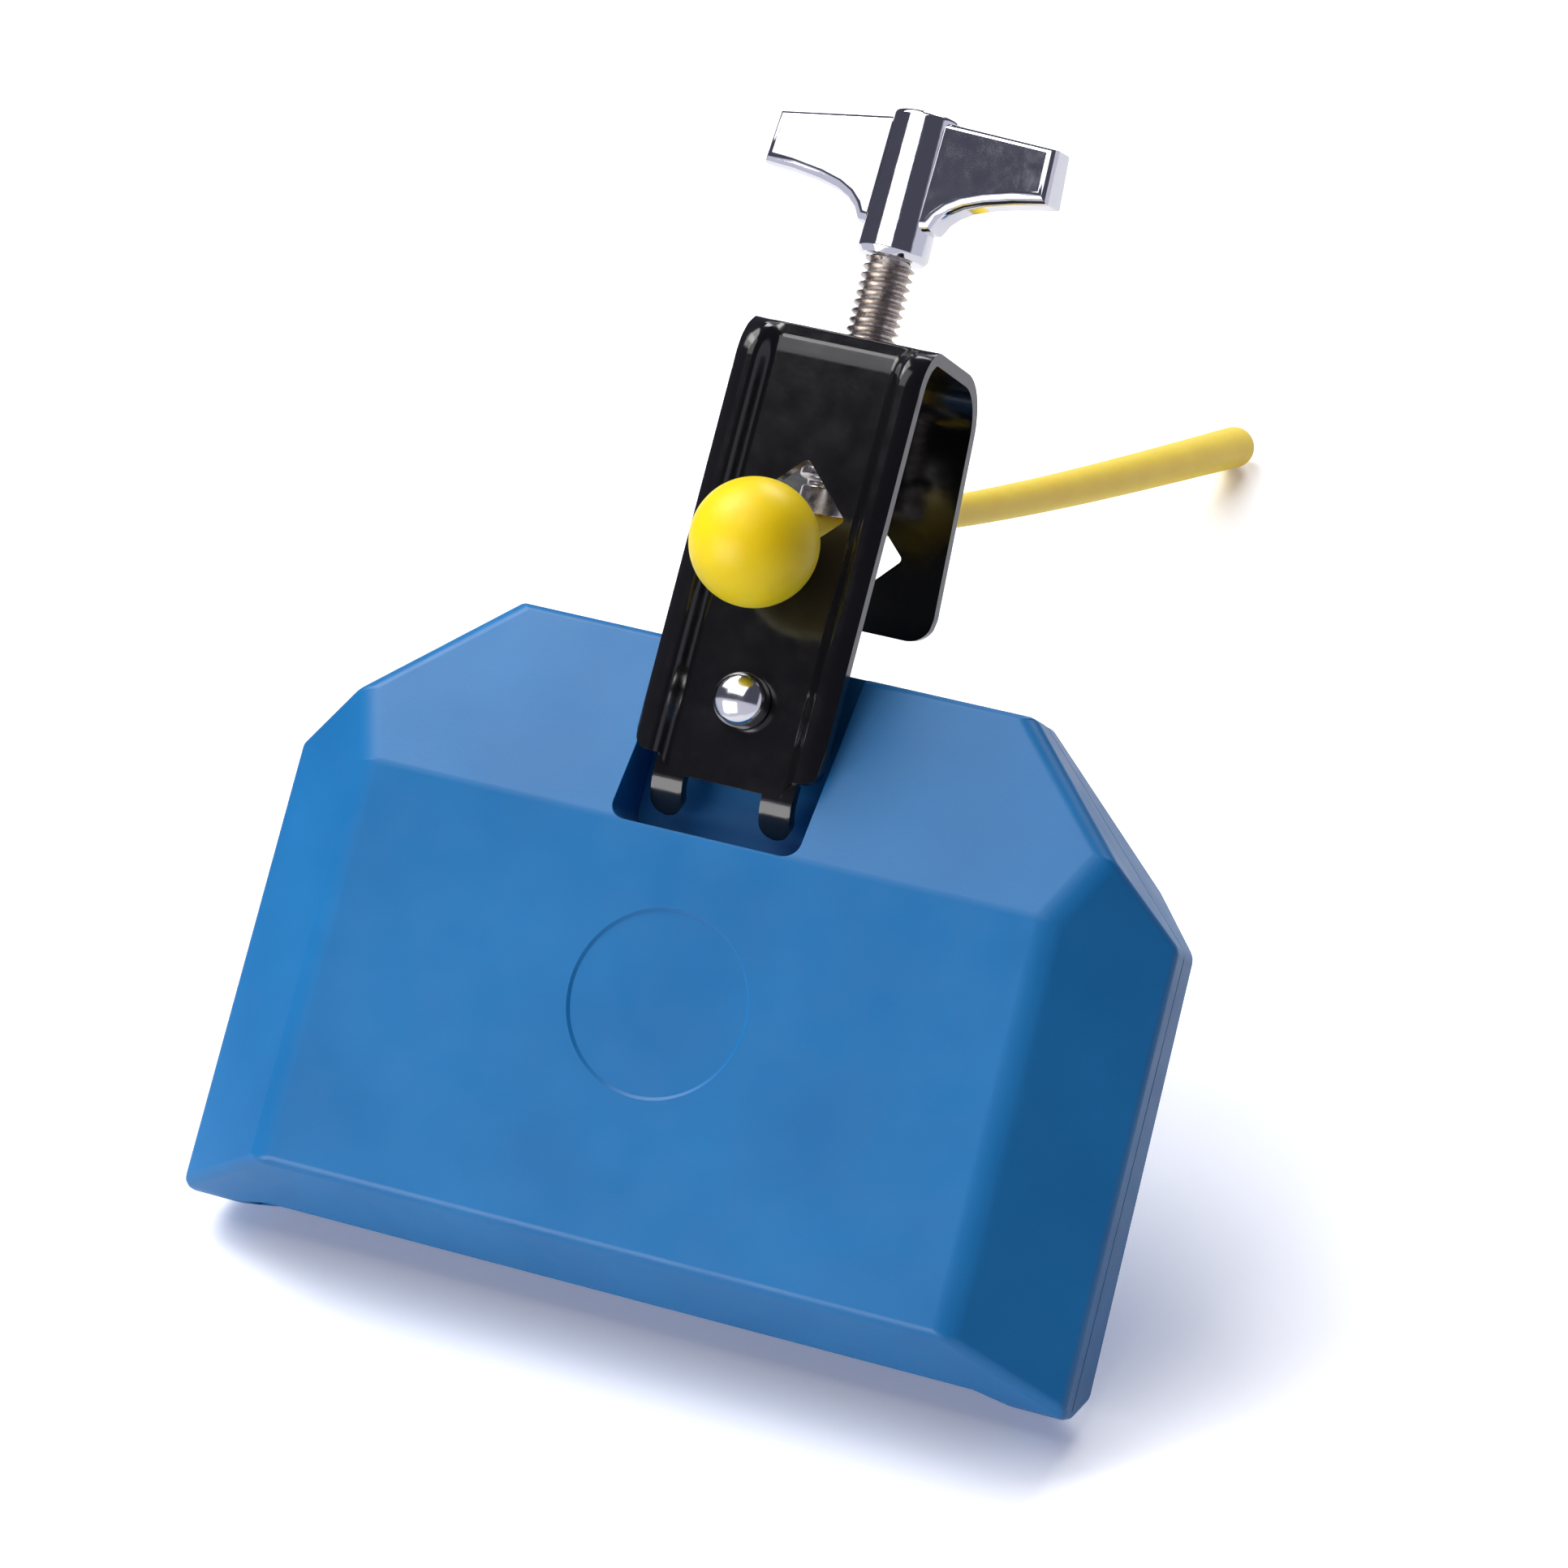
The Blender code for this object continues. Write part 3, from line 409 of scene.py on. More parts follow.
def slice_off(shape, point, normal):
    """Cut away what lies beyond a plane, and close the cut."""
    bmesh.ops.bisect_plane(
        shape,
        geom=list(shape.verts) + list(shape.edges) + list(shape.faces),
        dist=0.000001,
        plane_co=spot(*point),
        plane_no=normal,
        clear_outer=True,
    )
    rim = [edge for edge in shape.edges if len(edge.link_faces) == 1]
    if rim:
        bmesh.ops.holes_fill(shape, edges=rim, sides=0)


def block_form(planes, inset):
    """The whole block as one convex solid, its walls moved in by inset."""
    half = Vector((FOOT_X, FACE_Y, 0.0)) * 2.0
    shape = box_shape(spot(-half.x, -half.y, -CROWN_H), spot(half.x, half.y, 2.0 * CROWN_H))
    for name, point, outward in planes:
        moved = point - outward * inset
        for flip_x in (1.0, -1.0):
            for flip_y in (1.0, -1.0):
                repeated_x = flip_x < 0.0 and abs(outward.x) < 0.001
                repeated_y = flip_y < 0.0 and abs(outward.y) < 0.001
                if repeated_x or repeated_y:
                    continue
                flip = Vector((flip_x, flip_y, 1.0))
                slice_off(shape, moved * flip, outward * flip)
    return shape


# %% [markdown]
# A mould doesn't round all its edges alike. The bevels meet the face softly,
# the brow between face and slope is crisp, and the feet are rounder. A bevel
# modifier can do this in one pass: each edge carries a weight, which scales the
# modifier's width.

# %% Edge roundings
SIDE_ROUND = 3.2
BROW_ROUND = 0.8
OUTER_ROUND = 1.2
FOOT_ROUND = 1.8
FORM_ROUND = 1.5


def plane_of(face, planes):
    """Which of the block's planes a face belongs to, on any quarter."""
    turned = Vector((abs(face.normal.x), -abs(face.normal.y), face.normal.z))
    return max(planes, key=lambda plane: plane[2].dot(turned))[0]


def round_between(names):
    """How softly the moulding turns between two of its planes."""
    if names == {"face", "slope"}:
        return BROW_ROUND
    if names in ({"face", "side"}, {"slope", "side"}, {"slope", "corner"}):
        return SIDE_ROUND
    if names in ({"outer", "keel"}, {"outer", "lip"}, {"side", "lip"}):
        return FOOT_ROUND
    if "outer" in names or "corner" in names:
        return OUTER_ROUND
    return FORM_ROUND


def round_block(target, planes):
    """Weigh each edge of the whole form, and bevel it by its weight."""
    shape = bmesh.new()
    shape.from_mesh(target.data)
    weight = shape.edges.layers.float.new("bevel_weight_edge")
    for edge in shape.edges:
        names = {plane_of(face, planes) for face in edge.link_faces}
        edge[weight] = round_between(names) / SIDE_ROUND
    shape.to_mesh(target.data)
    shape.free()
    step = target.modifiers.new("mould radii", "BEVEL")
    step.width = SIDE_ROUND * MM
    step.segments = 7
    step.limit_method = "WEIGHT"
    step.use_clamp_overlap = True
    keep_modifiers(target)


# %% [markdown]
# ## The front shell
# The pocket for the strap goes in before the hollow, while the form is still
# solid, so that one more bevel can give its rim the small bright radius that it
# has. Then come the joint plane, the hollow, the slot mouth, the recess along
# the lower edge, the boss behind the strap and the round badge recess, which
# stays bare.

# %% Front shell sizes
SHELL_JOIN = 0.15
STRAP_X = 15.0
POCKET_X = STRAP_X + GAP
POCKET_FLOOR_Y = 4.5
POCKET_CORNER = 2.5
POCKET_RIM = 0.9
POCKET_SKIN = 3.2
POCKET_FLOOR = 2.0
STRAP_FRONT_Y = 15.84
STRAP_SHEET = 2.0
PANEL_DEEP = 2.84
PANEL_Y = -STRAP_FRONT_Y + PANEL_DEEP
BOSS_R = 6.5
BOLT_H = CROWN_H - 8.0
BOLT_R = 2.0
MOUTH_X = 62.0
MOUTH_Y = 3.0
RECESS_RISE = 1.0
RECESS_STEP_OUT = 64.0
RECESS_STEP_IN = 58.5
BADGE_H = 44.3
BADGE_R = 14.4
BADGE_DEEP = 0.35
BADGE_WALL = 0.5


# %% Round the pocket's rim
def round_rim(target):
    """Round only the outward edges that the pocket cut into the form."""
    shape = bmesh.new()
    shape.from_mesh(target.data)
    weight = shape.edges.layers.float["bevel_weight_edge"]
    for edge in shape.edges:
        middle = (edge.verts[0].co + edge.verts[1].co) / 2.0
        at_pocket = abs(middle.x) < (POCKET_X + 0.1) * MM and middle.y < -POCKET_FLOOR_Y * MM
        at_pocket = at_pocket and middle.z > up(FACE_TOP_H - 0.1)
        sharp = edge.is_convex and edge.calc_face_angle(0.0) > math.radians(40.0)
        edge[weight] = 1.0 if at_pocket and sharp else 0.0
    shape.to_mesh(target.data)
    shape.free()
    step = target.modifiers.new("pocket rim", "BEVEL")
    step.width = POCKET_RIM * MM
    step.segments = 4
    step.limit_method = "WEIGHT"
    step.use_clamp_overlap = True
    keep_modifiers(target)


# %% Shapes cut from both shells
def hollow_shape(planes):
    """The room inside one half, which runs a little past the joint."""
    shape = block_form(planes, WALL)
    slice_off(shape, Vector((0.0, MOUTH_Y, CROWN_H / 2.0)), Vector((0.0, 1.0, 0.0)))
    return shape


def mouth_shape():
    high = WALL * 2.0 + RECESS_RISE
    outline = [(-MOUTH_X, high), (MOUTH_X, high), (MOUTH_X, -WALL), (-MOUTH_X, -WALL)]
    return slab_along_y(outline, -MOUTH_Y, MOUTH_Y)


def recess_shape():
    outline = [
        (-RECESS_STEP_OUT, 0.0),
        (-RECESS_STEP_IN, RECESS_RISE),
        (RECESS_STEP_IN, RECESS_RISE),
        (RECESS_STEP_OUT, 0.0),
        (RECESS_STEP_OUT, -WALL),
        (-RECESS_STEP_OUT, -WALL),
    ]
    return slab_along_y(outline, -FACE_Y * 2.0, FACE_Y * 2.0)


def beyond_joint(back):
    """A box that holds all that lies behind the front half's joint face."""
    far = FOOT_X * 2.0
    return box_shape(spot(-far, back, -far), spot(far, far, 2.0 * far))


# %% Pocket and badge
def pocket_shape():
    corners = [
        (-POCKET_X, CROWN_H * 1.5),
        (-POCKET_X, FACE_TOP_H),
        (POCKET_X, FACE_TOP_H),
        (POCKET_X, CROWN_H * 1.5),
    ]
    outline = rounded_outline(corners, POCKET_CORNER, 8)
    return slab_along_y(outline, -FACE_Y * 2.0, -POCKET_FLOOR_Y)


def badge_shape():
    """A shallow plug with a slanted wall, which presses the badge's place in."""
    shape = bmesh.new()
    deep = BADGE_DEEP * 4.0
    slant = BADGE_WALL * deep / BADGE_DEEP
    middle = spot(0.0, -FACE_Y - deep + BADGE_DEEP + deep / 2.0, BADGE_H)
    turn = Matrix.Rotation(math.radians(-90.0), 4, "X")
    bmesh.ops.create_cone(
        shape,
        cap_ends=True,
        segments=128,
        radius1=(BADGE_R + slant - BADGE_WALL) * MM,
        radius2=(BADGE_R - BADGE_WALL) * MM,
        depth=deep * MM,
        matrix=Matrix.Translation(middle) @ turn,
    )
    return shape


# %% Build the front shell
front_planes = block_planes(FRONT_WALL_Y)
front_shell = mesh_object("front_moulding", block_form(front_planes, 0.0))
round_block(front_shell, front_planes)
cut_or_join(front_shell, pocket_shape(), "DIFFERENCE")
round_rim(front_shell)
cut_or_join(front_shell, beyond_joint(-SHELL_JOIN), "DIFFERENCE")

guard_low = spot(-POCKET_X - POCKET_SKIN, -FACE_Y * 2.0, FACE_TOP_H - POCKET_SKIN)
guard_high = spot(POCKET_X + POCKET_SKIN, -POCKET_FLOOR_Y + POCKET_FLOOR, CROWN_H * 2.0)
front_room = mesh_object("front_room", hollow_shape(front_planes))
cut_or_join(front_room, box_shape(guard_low, guard_high), "DIFFERENCE")
room_shape = bmesh.new()
room_shape.from_mesh(front_room.data)
bpy.data.objects.remove(front_room, do_unlink=True)
cut_or_join(front_shell, room_shape, "DIFFERENCE")

boss_near = spot(0.0, PANEL_Y + STRAP_SHEET + GAP, BOLT_H)
boss_far = spot(0.0, -POCKET_FLOOR_Y + POCKET_FLOOR / 2.0, BOLT_H)
cut_or_join(front_shell, round_bar(boss_near, boss_far, BOSS_R), "UNION")
drill = round_bar(spot(0.0, -FACE_Y * 2.0, BOLT_H), spot(0.0, 0.0, BOLT_H), BOLT_R + GAP, 32)
cut_or_join(front_shell, drill, "DIFFERENCE")
cut_or_join(front_shell, mouth_shape(), "DIFFERENCE")
cut_or_join(front_shell, recess_shape(), "DIFFERENCE")
cut_or_join(front_shell, badge_shape(), "DIFFERENCE")
finish_piece(front_shell, "block_and_clamp", "front_shell", moulding)

# %% [markdown]
# ## The rear shell
# The rear half is the front's mirror without the pocket, and its outer walls
# are deeper. Half a turn about the screw's axis brings it to the back.


# %% Build the rear shell
def turned_back(shape):
    half = Matrix.Rotation(math.pi, 3, "Z")
    bmesh.ops.rotate(shape, verts=shape.verts, matrix=half)
    return shape


rear_planes = block_planes(REAR_WALL_Y)
rear_shell = mesh_object("rear_moulding", turned_back(block_form(rear_planes, 0.0)))
round_block(rear_shell, rear_planes)
cut_or_join(rear_shell, turned_back(beyond_joint(-SHELL_JOIN)), "DIFFERENCE")
cut_or_join(rear_shell, turned_back(hollow_shape(rear_planes)), "DIFFERENCE")
cut_or_join(rear_shell, mouth_shape(), "DIFFERENCE")
cut_or_join(rear_shell, recess_shape(), "DIFFERENCE")
finish_piece(rear_shell, "block_and_clamp", "rear_shell", moulding)

# %% [markdown]
# ## The clamp strap
# The strap is one pressing: a sheet bent into an upside-down U, whose middle is
# pressed in to a flat panel between two rounded crests. It is laid as a grid.
# Stations run down the front leg, over the top and down the splayed rear leg,
# and a curve across the width says how deep the pressing lies at each column.

# %% Strap sizes
STRAP_TOP_H = ROD_HEIGHT + 27.7
PANEL_X = 9.1
CREST_X = 12.1
EDGE_DROP = 1.3
PANEL_LOW_H = BOLT_H - 12.8
MARGIN_LOW_H = BOLT_H - 10.4
FRONT_BEND = 7.0
REAR_BEND = 10.0
REAR_SPLAY = math.radians(10.1)
REAR_LOW_H = ROD_HEIGHT - 12.4
REAR_CORNER = 4.0
REAR_TOP_Y = 15.06
WINDOW = 8.15
WINDOW_CORNER = 0.7
LUG_X = 8.85
LUG_HALF = 2.5
LUG_LEAN = math.radians(42.0)
LUG_BEND = 4.2
LUG_LONG = 7.2
LUG_ROOT = 2.5
THREAD_R = 3.97
PANEL_FLATS = [(math.radians(29.0), math.radians(15.0)), (math.radians(52.0), math.radians(40.0))]
FRONT_WINDOW_DROP = 0.5
REAR_WINDOW_DROP = 0.9


# %% The strap's path
def arc_stations(centre, radius, start, end, steps, share_of):
    """Points on a bend, with the way into the sheet and the recess share."""
    made = []
    for step in range(steps + 1):
        angle = start + (end - start) * step / steps
        arm = Vector((math.cos(angle), math.sin(angle)))
        made.append((centre + arm * radius, -arm, share_of(angle)))
    return made


def panel_share(angle):
    """How much of the recess is left as the front leg bends over.

    The panel stays upright at first and then leans back in flats, each of
    which starts at a turn of the bend and ends where the next is nearer.
    """
    turned = math.pi - angle
    reach = FRONT_BEND - PANEL_DEEP
    last_lean = 0.0
    nearest = reach / max(0.1, math.cos(turned))
    for start, lean in PANEL_FLATS:
        reach = reach * math.cos(start - lean) / math.cos(start - last_lean)
        last_lean = lean
        if turned > start:
            nearest = reach / max(0.1, math.cos(turned - lean))
    return (FRONT_BEND - min(FRONT_BEND, nearest)) / PANEL_DEEP


def strap_stations():
    forward = Vector((1.0, 0.0))
    bend_h = STRAP_TOP_H - FRONT_BEND
    stations = [(Vector((-STRAP_FRONT_Y, MARGIN_LOW_H)), forward, 1.0)]
    rows = 16
    first = MARGIN_LOW_H + STRAP_X - CREST_X
    for row in range(1, rows):
        height = first + (bend_h - first) * row / rows
        stations.append((Vector((-STRAP_FRONT_Y, height)), forward, 1.0))
    centre = Vector((-STRAP_FRONT_Y + FRONT_BEND, bend_h))
    right = math.pi / 2.0
    stations += arc_stations(centre, FRONT_BEND, math.pi, right, 24, panel_share)
    centre = Vector((REAR_TOP_Y - REAR_BEND / math.cos(REAR_SPLAY), STRAP_TOP_H - REAR_BEND))
    stations += arc_stations(centre, REAR_BEND, right, REAR_SPLAY, 20, lambda angle: 0.0)
    outward = Vector((math.cos(REAR_SPLAY), math.sin(REAR_SPLAY)))
    start = stations[-1][0]
    drop = start.y - REAR_LOW_H
    final = start + Vector((drop * math.tan(REAR_SPLAY), -drop))
    rows = 8
    for row in range(1, rows + 1):
        stations.append((start.lerp(final, row / rows), -outward, 0.0))
    return stations


def pressing_depth(x):
    """How far the pressing lies behind the strap's outer surface."""
    side = abs(x)
    if side <= PANEL_X:
        return PANEL_DEEP
    if side <= CREST_X:
        turn = (side - PANEL_X) / (CREST_X - PANEL_X)
        return PANEL_DEEP * 0.5 * (1.0 + math.cos(math.pi * turn))
    return EDGE_DROP * ((side - CREST_X) / (STRAP_X - CREST_X)) ** 2


def strap_columns():
    half = [PANEL_X * step / 4.0 for step in range(5)]
    half += [PANEL_X + (CREST_X - PANEL_X) * step / 12.0 for step in range(1, 13)]
    half += [CREST_X + (STRAP_X - CREST_X) * step / 8.0 for step in range(1, 9)]
    return [-x for x in reversed(half[1:])] + half


# %% [markdown]
# The grid itself is a list of rows. Each place gives a point on the outer
# surface and the way into the metal, so the inner surface is the same grid
# moved in by the sheet's thickness, and the rim joins the two.


# %% Lay a sheet
def lay_sheet(columns, rows, place, thickness):
    shape = bmesh.new()
    outer = []
    inner = []
    for row in range(rows):
        outer.append([])
        inner.append([])
        for column in range(columns):
            point, unit = place(column, row)
            outer[-1].append(shape.verts.new(point))
            inner[-1].append(shape.verts.new(point + unit * thickness * MM))
    for grid in (outer, inner):
        for row in range(rows - 1):
            for column in range(columns - 1):
                square = (
                    grid[row][column],
                    grid[row][column + 1],
                    grid[row + 1][column + 1],
                    grid[row + 1][column],
                )
                shape.faces.new(square)
    rim = [(0, column) for column in range(columns - 1)]
    rim += [(row, columns - 1) for row in range(rows - 1)]
    rim += [(rows - 1, column) for column in range(columns - 1, 0, -1)]
    rim += [(row, 0) for row in range(rows - 1, 0, -1)]
    for index in range(len(rim)):
        row, column = rim[index]
        next_row, next_column = rim[(index + 1) % len(rim)]
        side = (
            outer[row][column],
            outer[next_row][next_column],
            inner[next_row][next_column],
            inner[row][column],
        )
        shape.faces.new(side)
    return shape


def strap_shape():
    stations = strap_stations()
    columns = strap_columns()
    last = len(stations) - 1

    def place(column, row):
        x = columns[column]
        point, inward, share = stations[row]
        side = abs(x)
        outer = point + inward * share * pressing_depth(x)
        if row == 0:
            height = MARGIN_LOW_H
            if side <= PANEL_X:
                height = PANEL_LOW_H
            elif side < CREST_X:
                turn = (side - PANEL_X) / (CREST_X - PANEL_X)
                height += (PANEL_LOW_H - MARGIN_LOW_H) * max(0.0, 1.0 - 2.0 * turn)
            else:
                corner = STRAP_X - CREST_X
                height += corner - math.sqrt(corner**2 - min(corner, side - CREST_X) ** 2)
            outer = Vector((outer.x, height))
        if row == last and side > STRAP_X - REAR_CORNER:
            reach = min(REAR_CORNER, side - (STRAP_X - REAR_CORNER))
            rise = REAR_CORNER - math.sqrt(REAR_CORNER**2 - reach**2)
            outer = outer + Vector((-math.sin(REAR_SPLAY), math.cos(REAR_SPLAY))) * rise
        return spot(x, outer.x, outer.y), Vector((0.0, inward.x, inward.y))

    return lay_sheet(len(columns), len(stations), place, STRAP_SHEET)


# %% [markdown]
# Two lugs hang from the panel, bend back into the pocket and end round. They
# keep the strap from turning on its single bolt.


# %% Lugs
def lug_shape(side):
    path = [(Vector((PANEL_Y, PANEL_LOW_H + LUG_ROOT)), 0.0, 1.0)]
    point = Vector((PANEL_Y, PANEL_LOW_H))
    steps = 24
    for step in range(steps + 1):
        run = LUG_LONG * step / steps
        lean = LUG_LEAN * min(1.0, run / LUG_BEND)
        left = LUG_LONG - run
        share = 1.0
        if left < LUG_HALF:
            share = math.sqrt(1.0 - (1.0 - left / LUG_HALF) ** 2)
        path.append((point.copy(), lean, max(share, 0.12)))
        point += Vector((math.sin(lean), -math.cos(lean))) * LUG_LONG / steps
    across = [-1.0 + step / 4.0 for step in range(9)]

    def place(column, row):
        point, lean, share = path[row]
        x = side * LUG_X + across[column] * LUG_HALF * share
        return spot(x, point.x, point.y), Vector((0.0, math.cos(lean), math.sin(lean)))

    return lay_sheet(len(across), len(path), place, STRAP_SHEET)


# %% Build the strap
strap = mesh_object("clamp_strap", strap_shape())
for side in (-1.0, 1.0):
    cut_or_join(strap, lug_shape(side), "UNION")
reach = STRAP_FRONT_Y * 2.0
middle = STRAP_FRONT_Y / 3.0
for near, far, mid_h in (
    (-reach, -middle, ROD_HEIGHT - FRONT_WINDOW_DROP),
    (middle, reach, ROD_HEIGHT - REAR_WINDOW_DROP),
):
    window = [(0.0, mid_h - WINDOW), (WINDOW, mid_h), (0.0, mid_h + WINDOW), (-WINDOW, mid_h)]
    cut = slab_along_y(rounded_outline(window, WINDOW_CORNER, 5), near, far)
    cut_or_join(strap, cut, "DIFFERENCE")
top_low = spot(0.0, 0.0, STRAP_TOP_H - STRAP_SHEET * 2.0)
top_high = spot(0.0, 0.0, STRAP_TOP_H + STRAP_SHEET)
cut_or_join(strap, round_bar(top_low, top_high, THREAD_R + GAP), "DIFFERENCE")
drill = round_bar(spot(0.0, -FACE_Y * 2.0, BOLT_H), spot(0.0, 0.0, BOLT_H), BOLT_R + GAP, 32)
cut_or_join(strap, drill, "DIFFERENCE")
round_sharp(strap, 0.35, 3, 50.0)
finish_piece(strap, "block_and_clamp", "bracket_strap", coating, 40.0)

# %% [markdown]
# The nut welded under the strap's top is hardly seen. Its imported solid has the
# right shape, so it keeps that and only gets rounded corners and the coating.
# The washers and the nut inside the block are treated the same way.


# %% Keep the small fasteners
def dress_node(name, material, width):
    piece = nodes[name]
    piece.data.materials.clear()
    piece.data.materials.append(material)
    step = piece.modifiers.new("worn corners", "BEVEL")
    step.width = width * MM
    step.segments = 3
    step.limit_method = "ANGLE"
    step.angle_limit = math.radians(35.0)
    even = piece.modifiers.new("even shading", "WEIGHTED_NORMAL")
    even.weight = 80
    print(name, "keeps its solid")


dress_node("clamp_nut", coating, 0.35)
for name in ("inner_washer", "lock_washer", "mounting_nut"):
    dress_node(name, zinc, 0.15)

# %% [markdown]
# ## The mounting bolt
# A round head with a straight side, turned about its own axis and then laid
# along Y. Its profile is worked out from the head's radius and dome.

# %% Build the bolt
HEAD_R = 4.2
HEAD_SIDE = 1.9
HEAD_DOME = 3.0
BOLT_END_Y = 4.4
BOLT_POINT = 0.5


def bolt_shape():
    reach = BOLT_END_Y - PANEL_Y + GAP
    profile = [(0.0, -HEAD_SIDE - HEAD_DOME)]
    steps = 24
    for step in range(1, steps + 1):
        angle = math.radians(90.0) * step / steps
        profile.append((HEAD_R * math.sin(angle), -HEAD_SIDE - HEAD_DOME * math.cos(angle)))
    profile += [(HEAD_R, -0.25), (HEAD_R - 0.25, 0.0), (BOLT_R, 0.0)]
    profile += [(BOLT_R, reach - BOLT_POINT), (BOLT_R - BOLT_POINT, reach), (0.0, reach)]
    shape = turned_shape(profile)
    lay = Matrix.Rotation(math.radians(-90.0), 3, "X")
    bmesh.ops.rotate(shape, verts=shape.verts, matrix=lay)
    bmesh.ops.translate(shape, verts=shape.verts, vec=spot(0.0, PANEL_Y - GAP, BOLT_H))
    return shape


bolt = mesh_object("strap_bolt", bolt_shape())
finish_piece(bolt, "block_and_clamp", "mounting_bolt", bright, 40.0)

# %% [markdown]
# ## The clamp screw
# The thread is a real helix of 18 turns to the inch. Columns stand round the
# shaft, and each one starts a little higher than the last, so the rows climb by
# one pitch in a full turn and the crests follow the grid. Only the ends are
# held level.

# %% Thread sizes
PITCH = 25.4 / 18.0
THREAD_DEEP = 0.8
SPIGOT_R = 2.7
SCREW_LOW_H = ROD_HEIGHT + 8.4
POINT_LOW_H = SCREW_LOW_H - 2.5
BOSS_LOW_H = STRAP_TOP_H + 15.0
SPIGOT_TOP_H = BOSS_LOW_H + 11.8


# %% Build the screw
def thread_rows(low, high):
    """Heights and radii of one column, from below the thread to above it."""
    pitch_profile = [(0.0, 1.0), (0.12, 1.0), (0.42, 0.0), (0.54, 0.0), (0.88, 1.0)]
    rows = []
    turns = math.ceil((high - low) / PITCH) + 1
    for turn in range(-1, turns):
        for share, depth in pitch_profile:
            rows.append((low + (turn + share) * PITCH, THREAD_R - depth * THREAD_DEEP))
    return rows, len(pitch_profile)


def join_columns(shape, first, second):
    """Fill the strip between two columns, skipping places where they meet."""
    for row in range(len(first) - 1):
        ring = [first[row], second[row], second[row + 1], first[row + 1]]
        corners = [point for index, point in enumerate(ring) if point not in ring[:index]]
        if len(corners) > 2:
            shape.faces.new(corners)


def screw_shape():
    """Point, thread and spigot in one closed mesh."""
    shape = bmesh.new()
    low = SCREW_LOW_H + 0.3
    high = BOSS_LOW_H - 1.0 - GAP
    root = THREAD_R - THREAD_DEEP
    below = [(SPIGOT_R - 0.3, POINT_LOW_H), (SPIGOT_R, POINT_LOW_H + 0.3), (SPIGOT_R, low)]
    above = [(SPIGOT_R, high), (SPIGOT_R, SPIGOT_TOP_H)]
    rows, per_turn = thread_rows(low, high)
    bottom = shape.verts.new(spot(0.0, 0.0, POINT_LOW_H))
    top = shape.verts.new(spot(0.0, 0.0, SPIGOT_TOP_H))
    columns = 64
    helix = []
    starts = []
    ends = []
    for column in range(columns):
        share = column / columns
        arm = Vector((math.cos(math.tau * share), math.sin(math.tau * share), 0.0))

        def put(radius, height):
            return shape.verts.new(spot(0.0, 0.0, height) + arm * radius * MM)

        starts.append([bottom] + [put(*point) for point in below] + [put(root, low)])
        ends.append([put(root, high)] + [put(*point) for point in above] + [top])
        line = []
        for height, radius in rows:
            climbed = height + share * PITCH
            if climbed < low + 0.03:
                line.append(starts[-1][-1])
            elif climbed > high - 0.03:
                line.append(ends[-1][0])
            else:
                line.append(put(radius, climbed))
        helix.append(line)
    for column in range(columns):
        after = (column + 1) % columns
        join_columns(shape, starts[column], starts[after])
        join_columns(shape, ends[column], ends[after])
        first = helix[column]
        second = helix[after]
        if after == 0:
            first = [starts[column][-1]] * per_turn + first
            second = second + [ends[after][0]] * per_turn
        join_columns(shape, first, second)
    return shape


screw = mesh_object("threaded_shaft", screw_shape())
finish_piece(screw, "wing_screw", "clamp_screw", plated, 50.0)

# %% [markdown]
# ## The pressure shoe
# The shoe swivels on the screw's point and presses the rod. It is a turned
# button with a groove under its collar, and its lower face lies along the
# mallet's stick.

# %% Build the shoe
SHOE_R = 4.5
SHOE_FLANGE_R = 5.2
SHOE_TOP_H = SCREW_LOW_H - GAP
MALLET_LEAN = math.radians(15.35)
MALLET_MID_H = ROD_HEIGHT - 0.8
STICK_R = 2.03
STICK_TAPER = 0.00727
BALL_FRONT = 26.1


def stick_radius(along):
    return STICK_R + STICK_TAPER * along


def shoe_shape():
    low = MALLET_MID_H - SHOE_R
    socket = SPIGOT_R + GAP
    profile = [
        (0.0, low),
        (SHOE_R, low),
        (SHOE_R, SHOE_TOP_H - 3.4),
        (SHOE_R - 0.2, SHOE_TOP_H - 3.1),
        (SHOE_R - 0.7, SHOE_TOP_H - 2.9),
        (SHOE_R - 0.7, SHOE_TOP_H - 2.1),
        (SHOE_FLANGE_R - 0.3, SHOE_TOP_H - 1.8),
        (SHOE_FLANGE_R, SHOE_TOP_H - 1.5),
        (SHOE_FLANGE_R, SHOE_TOP_H - 0.6),
        (SHOE_FLANGE_R - 0.2, SHOE_TOP_H - 0.2),
        (SHOE_FLANGE_R - 0.6, SHOE_TOP_H),
        (socket, SHOE_TOP_H),
        (socket, POINT_LOW_H - GAP),
        (0.0, POINT_LOW_H - GAP),
    ]
    shape = turned_shape(profile, 64)
    bmesh.ops.translate(shape, verts=shape.verts, vec=(0.0, 0.0, up(0.0)))
    room = stick_radius(BALL_FRONT / math.cos(MALLET_LEAN)) + 0.33
    seat = MALLET_MID_H + room / math.cos(MALLET_LEAN)
    down = Vector((0.0, math.sin(MALLET_LEAN), -math.cos(MALLET_LEAN)))
    slice_off(shape, Vector((0.0, 0.0, seat)), down)
    return shape


shoe = mesh_object("swivel_shoe", shoe_shape())
round_sharp(shoe, 0.25, 2, 60.0)
finish_piece(shoe, "shoe", "pressure_shoe", plated, 40.0)

# %% [markdown]
# ## The wing handle
# The handle is a casting: two wings on a round boss. The wings are one slab, a
# little thicker toward the tips and toward the bottom, as the mould's draft
# makes them. Chrome shows a rounding as a line of light and dark, so the lower
# edges get a large radius, the tips a smaller one and the top edges a fine one.
# The boss goes in afterwards.

